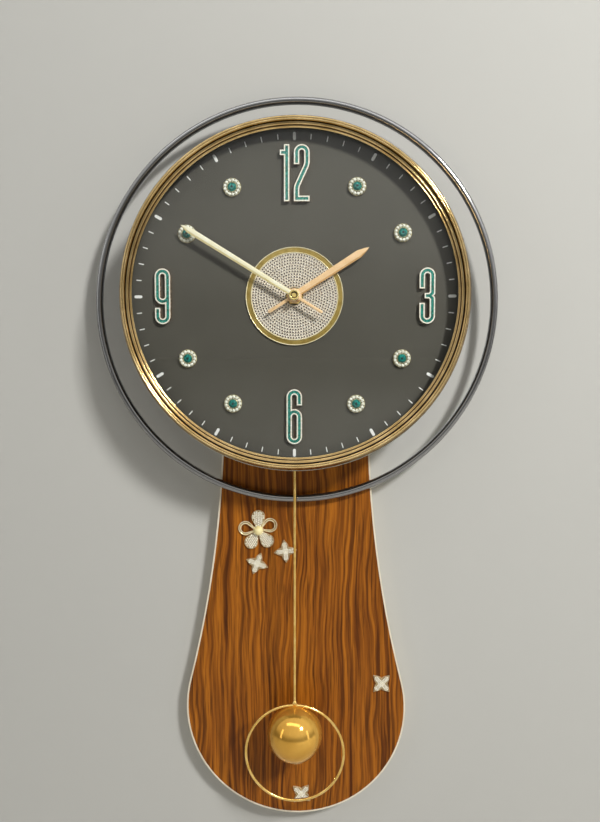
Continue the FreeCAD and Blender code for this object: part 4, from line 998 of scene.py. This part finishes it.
def hand_blade(build, angle, level, reach, width, tip, tail, tail_half, inner, lean_share):
    """A blade whose ridge leans to one side, and a slim rounded tail."""
    ridge = level + HAND_THICK
    dx, dz = clock_place(1.0, angle)

    def put(along, side, out):
        return at(dx * along + dz * side, out, dz * along - dx * side)

    sections = [(inner, width * ROOT_SHARE)]
    for tip_share, width_share in TIP_SHARES:
        sections.append((reach - tip * tip_share, width * width_share))
    sections.append((reach, TIP_HALF))
    for choice, side in enumerate((1, -1)):
        verts = []
        for along, half in sections:
            crest = lean_share * half
            verts.extend([put(along, crest, level), put(along, side * half, level),
                          put(along, side * half, level + HAND_EDGE), put(along, crest, ridge)])
        last = len(verts) - 4
        faces = []
        for here in range(0, last, 4):
            for n in range(here, here + 3):
                faces.append([n, n + 1, n + 5, n + 4])
        faces.append([last, last + 1, last + 2, last + 3])
        faces.append([3, 2, 1, 0])
        build.add(verts, faces, choice)
    outline = tail_outline(tail, tail_half, inner)
    rings = []
    for share, out in ((1.0, level), (1.0, level + TAIL_EDGE), (TAIL_RIDGE_SHARE, ridge)):
        rings.append([put(along, across * share, out) for along, across in outline])
    stack_outlines(build, rings, 2, 2)


def stack_outlines(build, rings, side_choice, top_choice):
    """Closes outlines of equal length into a solid, from bottom to top."""
    count = len(rings[0])
    verts = [vert for ring in rings for vert in ring]
    faces = []
    for base in range(0, len(verts) - count, count):
        for k in range(count):
            n = (k + 1) % count
            faces.append([base + k, base + n, base + count + n, base + count + k])
    faces.append(list(range(count))[::-1])
    build.add(verts, faces, side_choice)
    build.add(rings[-1], [list(range(count))], top_choice)


def make_hands():
    hour = Build()
    hand_blade(hour, **HOUR_BLADE)
    hour.lathe(HOUR_HUB, 56, choices=1)
    # One facet of each blade takes a darker copy of its gold, as painted shade.
    hour.piece("hour_blade", ["rose_shaded_facet", "rose_gold", "rose_gold"], "hour", "rose_gold",
               ["hour_hand"], sharp=30.0)
    minute = Build()
    hand_blade(minute, **MINUTE_BLADE)
    minute.lathe(MINUTE_HUB, 48)
    minute.piece("minute_blade", ["pale_gold", "pale_shaded_facet", "rose_gold"], "minute", "pale_gold",
                 ["minute_hand"], sharp=30.0)

    rough_corners = (1, 2, 3)

    def knurl(turn, out, n):
        if n not in rough_corners:
            return 0.0
        return -KNURL_DEPTH * (1.0 + math.cos(turn * NUT_KNURLS)) / 2

    nut = Build()
    # The nut's hollow takes a darker brass as painted shade.
    nut.lathe(NUT_PROFILE, NUT_KNURLS * 4, choices=[0, 0, 0, 0, 0, 0, 1, 1, 0], depth=knurl)
    nut.piece("top_nut", ["turned_brass", "hole_shade"], "minute", "turned_brass", ["hand_nut"], sharp=50.0)


# Pendulum
def make_pendulum():
    hoop = Build()
    steps = 240
    path = []
    for k in range(steps):
        x, z = polar(LOOP_RADIUS, 360 * k / steps)
        path.append(at(x, SWING_OUT, z - LOOP_DROP))

    def hammered(k):
        """Uneven thickness, as a share, from a quick and a slow wave."""
        return 1.0 + HAMMER_SHARE * math.sin(k * HAMMER_QUICK) * math.sin(k * HAMMER_SLOW + 1.0)

    hoop.tube(path, LOOP_WIRE, 14, swell=hammered)
    crest = LOOP_RADIUS + LOOP_WIRE - LOOP_DROP
    hoop.standing(BEAD_PROFILE, crest, 28)
    stem_low = BALL_RADIUS - BALL_DROP - STEM_SUNK
    hoop.standing([(STEM_RADIUS, 0.0), (STEM_RADIUS, crest - stem_low)], stem_low, 18)
    hoop.piece("pendulum_hoop", ["pendulum_gold"], "pendulum", "pendulum_gold",
               ["pendulum_ring"], sharp=50.0)
    ball = Build()
    profile = arc_points((0.0, 0.0), BALL_RADIUS, -90.0, 90.0, 64)
    profile[0] = (0.0, -BALL_RADIUS)
    profile[-1] = (0.0, BALL_RADIUS)
    ball.standing(profile, -BALL_DROP, 128)
    ball.piece("gold_ball", ["ball_gold"], "pendulum", "ball_gold", ["pendulum_ball"], sharp=40.0)


# Flower and blossoms
def drop_outline(radius, orbit, begin, half):
    """Corners of a drop along +X: from its stem round its broad end."""
    reach = orbit - begin
    far = math.hypot(reach, half)
    lean = math.asin(radius / far) - math.atan2(half, reach)
    points = [(begin, half)]
    steps = 22
    for k in range(steps + 1):
        turn = math.pi / 2 + lean - (math.pi + 2 * lean) * k / steps
        points.append((orbit + radius * math.cos(turn), radius * math.sin(turn)))
    points.append((begin, -half))
    return points


def leaf_outline(reach, half):
    """Corners of a pointed leaf, widest nearer the middle of its blossom."""
    steps = 12
    edge = []
    for k in range(1, steps):
        share = k / steps
        edge.append((reach * share, half * math.sin(math.pi * share ** LEAF_SHARE)))
    back = [(px, -pz) for px, pz in edge[::-1]]
    return [(0.0, 0.0)] + edge + [(reach, 0.0)] + back


def inside(points, x, z, margin):
    """Whether a place lies within an outline by a margin."""
    hit = False
    nearest = float("inf")
    for k, (ax, az) in enumerate(points):
        bx, bz = points[(k + 1) % len(points)]
        if (az > z) != (bz > z) and x < (bx - ax) * (z - az) / (bz - az) + ax:
            hit = not hit
        length = (bx - ax) ** 2 + (bz - az) ** 2
        share = 0.0 if length == 0 else ((x - ax) * (bx - ax) + (z - az) * (bz - az)) / length
        share = min(1.0, max(0.0, share))
        nearest = min(nearest, math.hypot(x - ax - share * (bx - ax), z - az - share * (bz - az)))
    return hit and nearest >= margin


def pave_petal(build, outline, turn, x, z, pitch, size):
    """A rimmed plate with small stones set in staggered rows."""
    far = BOARD_FACE + PETAL_THICK
    sin, cos = math.sin(math.radians(turn)), math.cos(math.radians(turn))
    middle = sum(px for px, pz in outline) / len(outline)

    def shrunk(share):
        return [(middle + (px - middle) * share, pz * share) for px, pz in outline]

    rings = []
    for share, depth in PETAL_RIM:
        rings.append([at(x + px * cos - pz * sin, far - depth, z + px * sin + pz * cos)
                      for px, pz in shrunk(share)])
    # The plate's face takes the third material, painted darker between the stones as shade.
    stack_outlines(build, rings, 0, 2)
    field = shrunk(PAVE_FIELD_SHARE)
    rows = int(max(px for px, pz in outline) / pitch) + 1
    for row in range(-rows, rows + 1):
        pz = row * pitch * PAVE_ROW_SHARE
        for column in range(rows * 2):
            px = (column + 0.5 * (row % 2)) * pitch
            if inside(field, px, pz, size * PAVE_MARGIN_SHARE):
                cut_gem(build, size, PAVE_HEIGHT, PAVE_SIDES, far - PAVE_SUNK, x + px * cos - pz * sin,
                        z + px * sin + pz * cos, 1, PAVE_TURN * ((row + column) % 2))


def make_flower_wires():
    """Two open petals, each of a wide and a narrow loop of wire."""
    wires = Build()
    for turn in LOOP_TURNS:
        sin, cos = math.sin(math.radians(turn)), math.cos(math.radians(turn))
        for ring, (half, lift) in enumerate(zip(LOOP_STEMS, LOOP_LIFTS)):
            path = []
            for px, pz in drop_outline(LOOP_ROUND - LOOP_GAP * ring, LOOP_ORBIT, LOOP_BEGIN, half):
                path.append(at(FLOWER_X + px * cos - pz * sin, BOARD_FACE + LOOP_THICK + lift,
                               -FLOWER_DROP + px * sin + pz * cos))
            wires.tube(path, LOOP_THICK, 10)
    wires.piece("flower_wires", ["silver_wire"], "clock", "silver_wire", ["flower_loops"])


def make_flower():
    build = Build()
    outline = drop_outline(PETAL_RADIUS, FLOWER_ORBIT, PETAL_BEGIN, PETAL_STEM)
    for turn in PETAL_TURNS:
        pave_petal(build, outline, turn, FLOWER_X, -FLOWER_DROP, PETAL_PITCH, PETAL_STONE)
    build.lathe(PEARL_CUP, 40, FLOWER_X, -FLOWER_DROP, closed=False)
    build.piece("flower_petals", ["crystal_pave", "pave_stone", "pave_bed_shade"], "clock", "crystal_pave",
                ["flower_base"], sharp=20.0)
    make_flower_wires()
    pearl = Build()
    profile = arc_points((0.0, PEARL_OUT), PEARL_RADIUS, 0.0, 90.0, 20)
    profile[-1] = (0.0, PEARL_OUT + PEARL_RADIUS)
    pearl.lathe(profile, 48, FLOWER_X, -FLOWER_DROP, closed=False)
    pearl.piece("flower_bead", ["pearl"], "clock", "pearl", ["flower_pearl"])


def make_blossoms():
    build = Build()
    outline = leaf_outline(BLOSSOM_REACH, BLOSSOM_HALF)
    near = BOARD_FACE + PETAL_THICK
    top = near - EYE_SUNK
    eye = [(0.0, BOARD_FACE), (EYE_RADIUS, BOARD_FACE), (EYE_RADIUS, top), (0.0, top)]
    seat = near - EYE_STONE_SUNK
    for x, z, first in BLOSSOMS:
        for k in range(4):
            pave_petal(build, outline, first + 90 * k, x, z, BLOSSOM_PITCH, BLOSSOM_STONE)
        build.lathe(eye, 24, x, z, choices=2, closed=False)
        cut_gem(build, EYE_STONE, PAVE_HEIGHT, PAVE_SIDES, seat, x, z, 1)
        for k in range(6):
            px, pz = polar(EYE_ORBIT, first + 60 * k)
            cut_gem(build, BLOSSOM_STONE, PAVE_HEIGHT, PAVE_SIDES, seat, x + px, z + pz, 1,
                    PAVE_TURN * (k % 2))
    build.piece("blossoms", ["crystal_pave", "pave_stone", "pave_bed_shade"], "clock", "crystal_pave",
                ["small_blossoms"], sharp=20.0)


# CAD nodes that stay
def dress_nodes():
    """Gives each node the material of its slot."""
    slots = {part["node"]: part["material_slot"] for part in frame["record"]["subparts"]}
    for node, piece in frame["nodes"].items():
        piece.data.materials.clear()
        piece.data.materials.append(MATERIALS.get(slots[node], MATERIALS["mesh_bed"]))


def soften(node):
    """Rounds the edges of a CAD node that stays."""
    piece = frame["nodes"][node]
    weld = piece.modifiers.new("weld", "WELD")
    weld.merge_threshold = WELD_REACH
    bevel = piece.modifiers.new("bevel", "BEVEL")
    bevel.width = NUMERAL_ROUND * MM
    bevel.segments = 2
    bevel.limit_method = "ANGLE"
    bevel.angle_limit = math.radians(ROUND_ANGLE)
    bevel.harden_normals = False


# Room and lamps
def plane(name, corners, material):
    mesh = bpy.data.meshes.new(name)
    mesh.from_pydata(corners, [], [(0, 1, 2, 3)])
    mesh.materials.append(material)
    piece = bpy.data.objects.new(name, mesh)
    bpy.context.scene.collection.objects.link(piece)


def make_wall():
    """A plain wall that lets light through from behind, onto the clock's back."""
    material, tree, shader = new_material("room_wall")
    fill(tree, shader, {"Base Color": linear(*WALL_TONE), "Roughness": 0.95, "Specular IOR Level": 0.1})
    clear = add_node(tree, "BsdfTransparent").outputs[0]
    behind = add_node(tree, "NewGeometry").outputs["Backfacing"]
    shadow = add_node(tree, "LightPath").outputs["Is Shadow Ray"]
    open_share = worked(tree, "MAXIMUM", behind, shadow)
    show(tree, mix_shaders(tree, open_share, shader.outputs[0], clear))
    y, r = WALL_Y, ROOM_REACH
    plane("room_wall", [(-r, y, FLOOR_Z), (r, y, FLOOR_Z), (r, y, r), (-r, y, r)], material)


def make_floor():
    material, tree, shader = new_material("room_floor")
    tone = tones(tree, noise(tree, 3.0), *FLOOR_TONES)
    fill(tree, shader, {"Base Color": tone, "Roughness": 0.9})
    z, r = FLOOR_Z, ROOM_REACH
    plane("room_floor", [(-r, -r, z), (r, -r, z), (r, r, z), (-r, r, z)], material)


def make_lamp(name, place, width, depth, watts):
    data = bpy.data.lights.new(name, "AREA")
    data.shape = "RECTANGLE"
    data.size = width
    data.size_y = depth
    data.energy = watts
    lamp = bpy.data.objects.new(name, data)
    lamp.location = Vector(place)
    lamp.rotation_euler = (Vector(AIM_PLACE) - lamp.location).to_track_quat("-Z", "Y").to_euler()
    bpy.context.scene.collection.objects.link(lamp)


def make_lamps():
    make_lamp("key_lamp", KEY_PLACE, KEY_SIZE, KEY_SIZE, KEY_WATTS)
    make_lamp("strip_lamp", STRIP_PLACE, STRIP_WIDTH, STRIP_DEPTH, STRIP_WATTS)
    for place, watts in zip(SIDE_PLACES, SIDE_WATTS):
        make_lamp("side_lamp", place, SIDE_WIDTH, SIDE_HEIGHT, watts)
    for place, watts in zip(BACK_PLACES, BACK_WATTS):
        make_lamp("back_lamp", place, BACK_SIZE, BACK_SIZE, watts)


def make_world():
    """Faint even light, a pale backdrop, and tones for glossy surfaces to mirror."""
    world = bpy.data.worlds.new("soft_room")
    bpy.context.scene.world = world
    world.use_nodes = True
    tree = world.node_tree
    light = fill(tree, tree.nodes["Background"], {"Color": WHITE, "Strength": AMBIENT}).outputs[0]
    height = spread(tree, axis_part(tree, places(tree, "Generated"), "Z"), 0.0, 1.0, *SKY_SPAN)
    mirrored = add_node(tree, "Background", {"Color": ramp(tree, height, *SKY_STOPS)}).outputs[0]
    backdrop = add_node(tree, "Background", {"Color": BACKDROP}).outputs[0]
    ray = add_node(tree, "LightPath").outputs
    glossy = worked(tree, "MAXIMUM", ray["Is Glossy Ray"], ray["Is Transmission Ray"])
    lit = mix_shaders(tree, glossy, light, mirrored)
    show(tree, mix_shaders(tree, ray["Is Camera Ray"], lit, backdrop), "World Output")


make_wall()
make_floor()
make_world()
make_lamps()
dress_nodes()
make_tube_ring()
make_bezel()
make_bezel_side()
make_rim()
make_dome()
make_medallion()
make_stone_mesh()
make_jewels()
make_hands()
make_pendulum()
make_flower()
make_blossoms()
for numeral in NUMERALS:
    soften(numeral)
bpy.context.scene.view_settings.view_transform = "Standard"
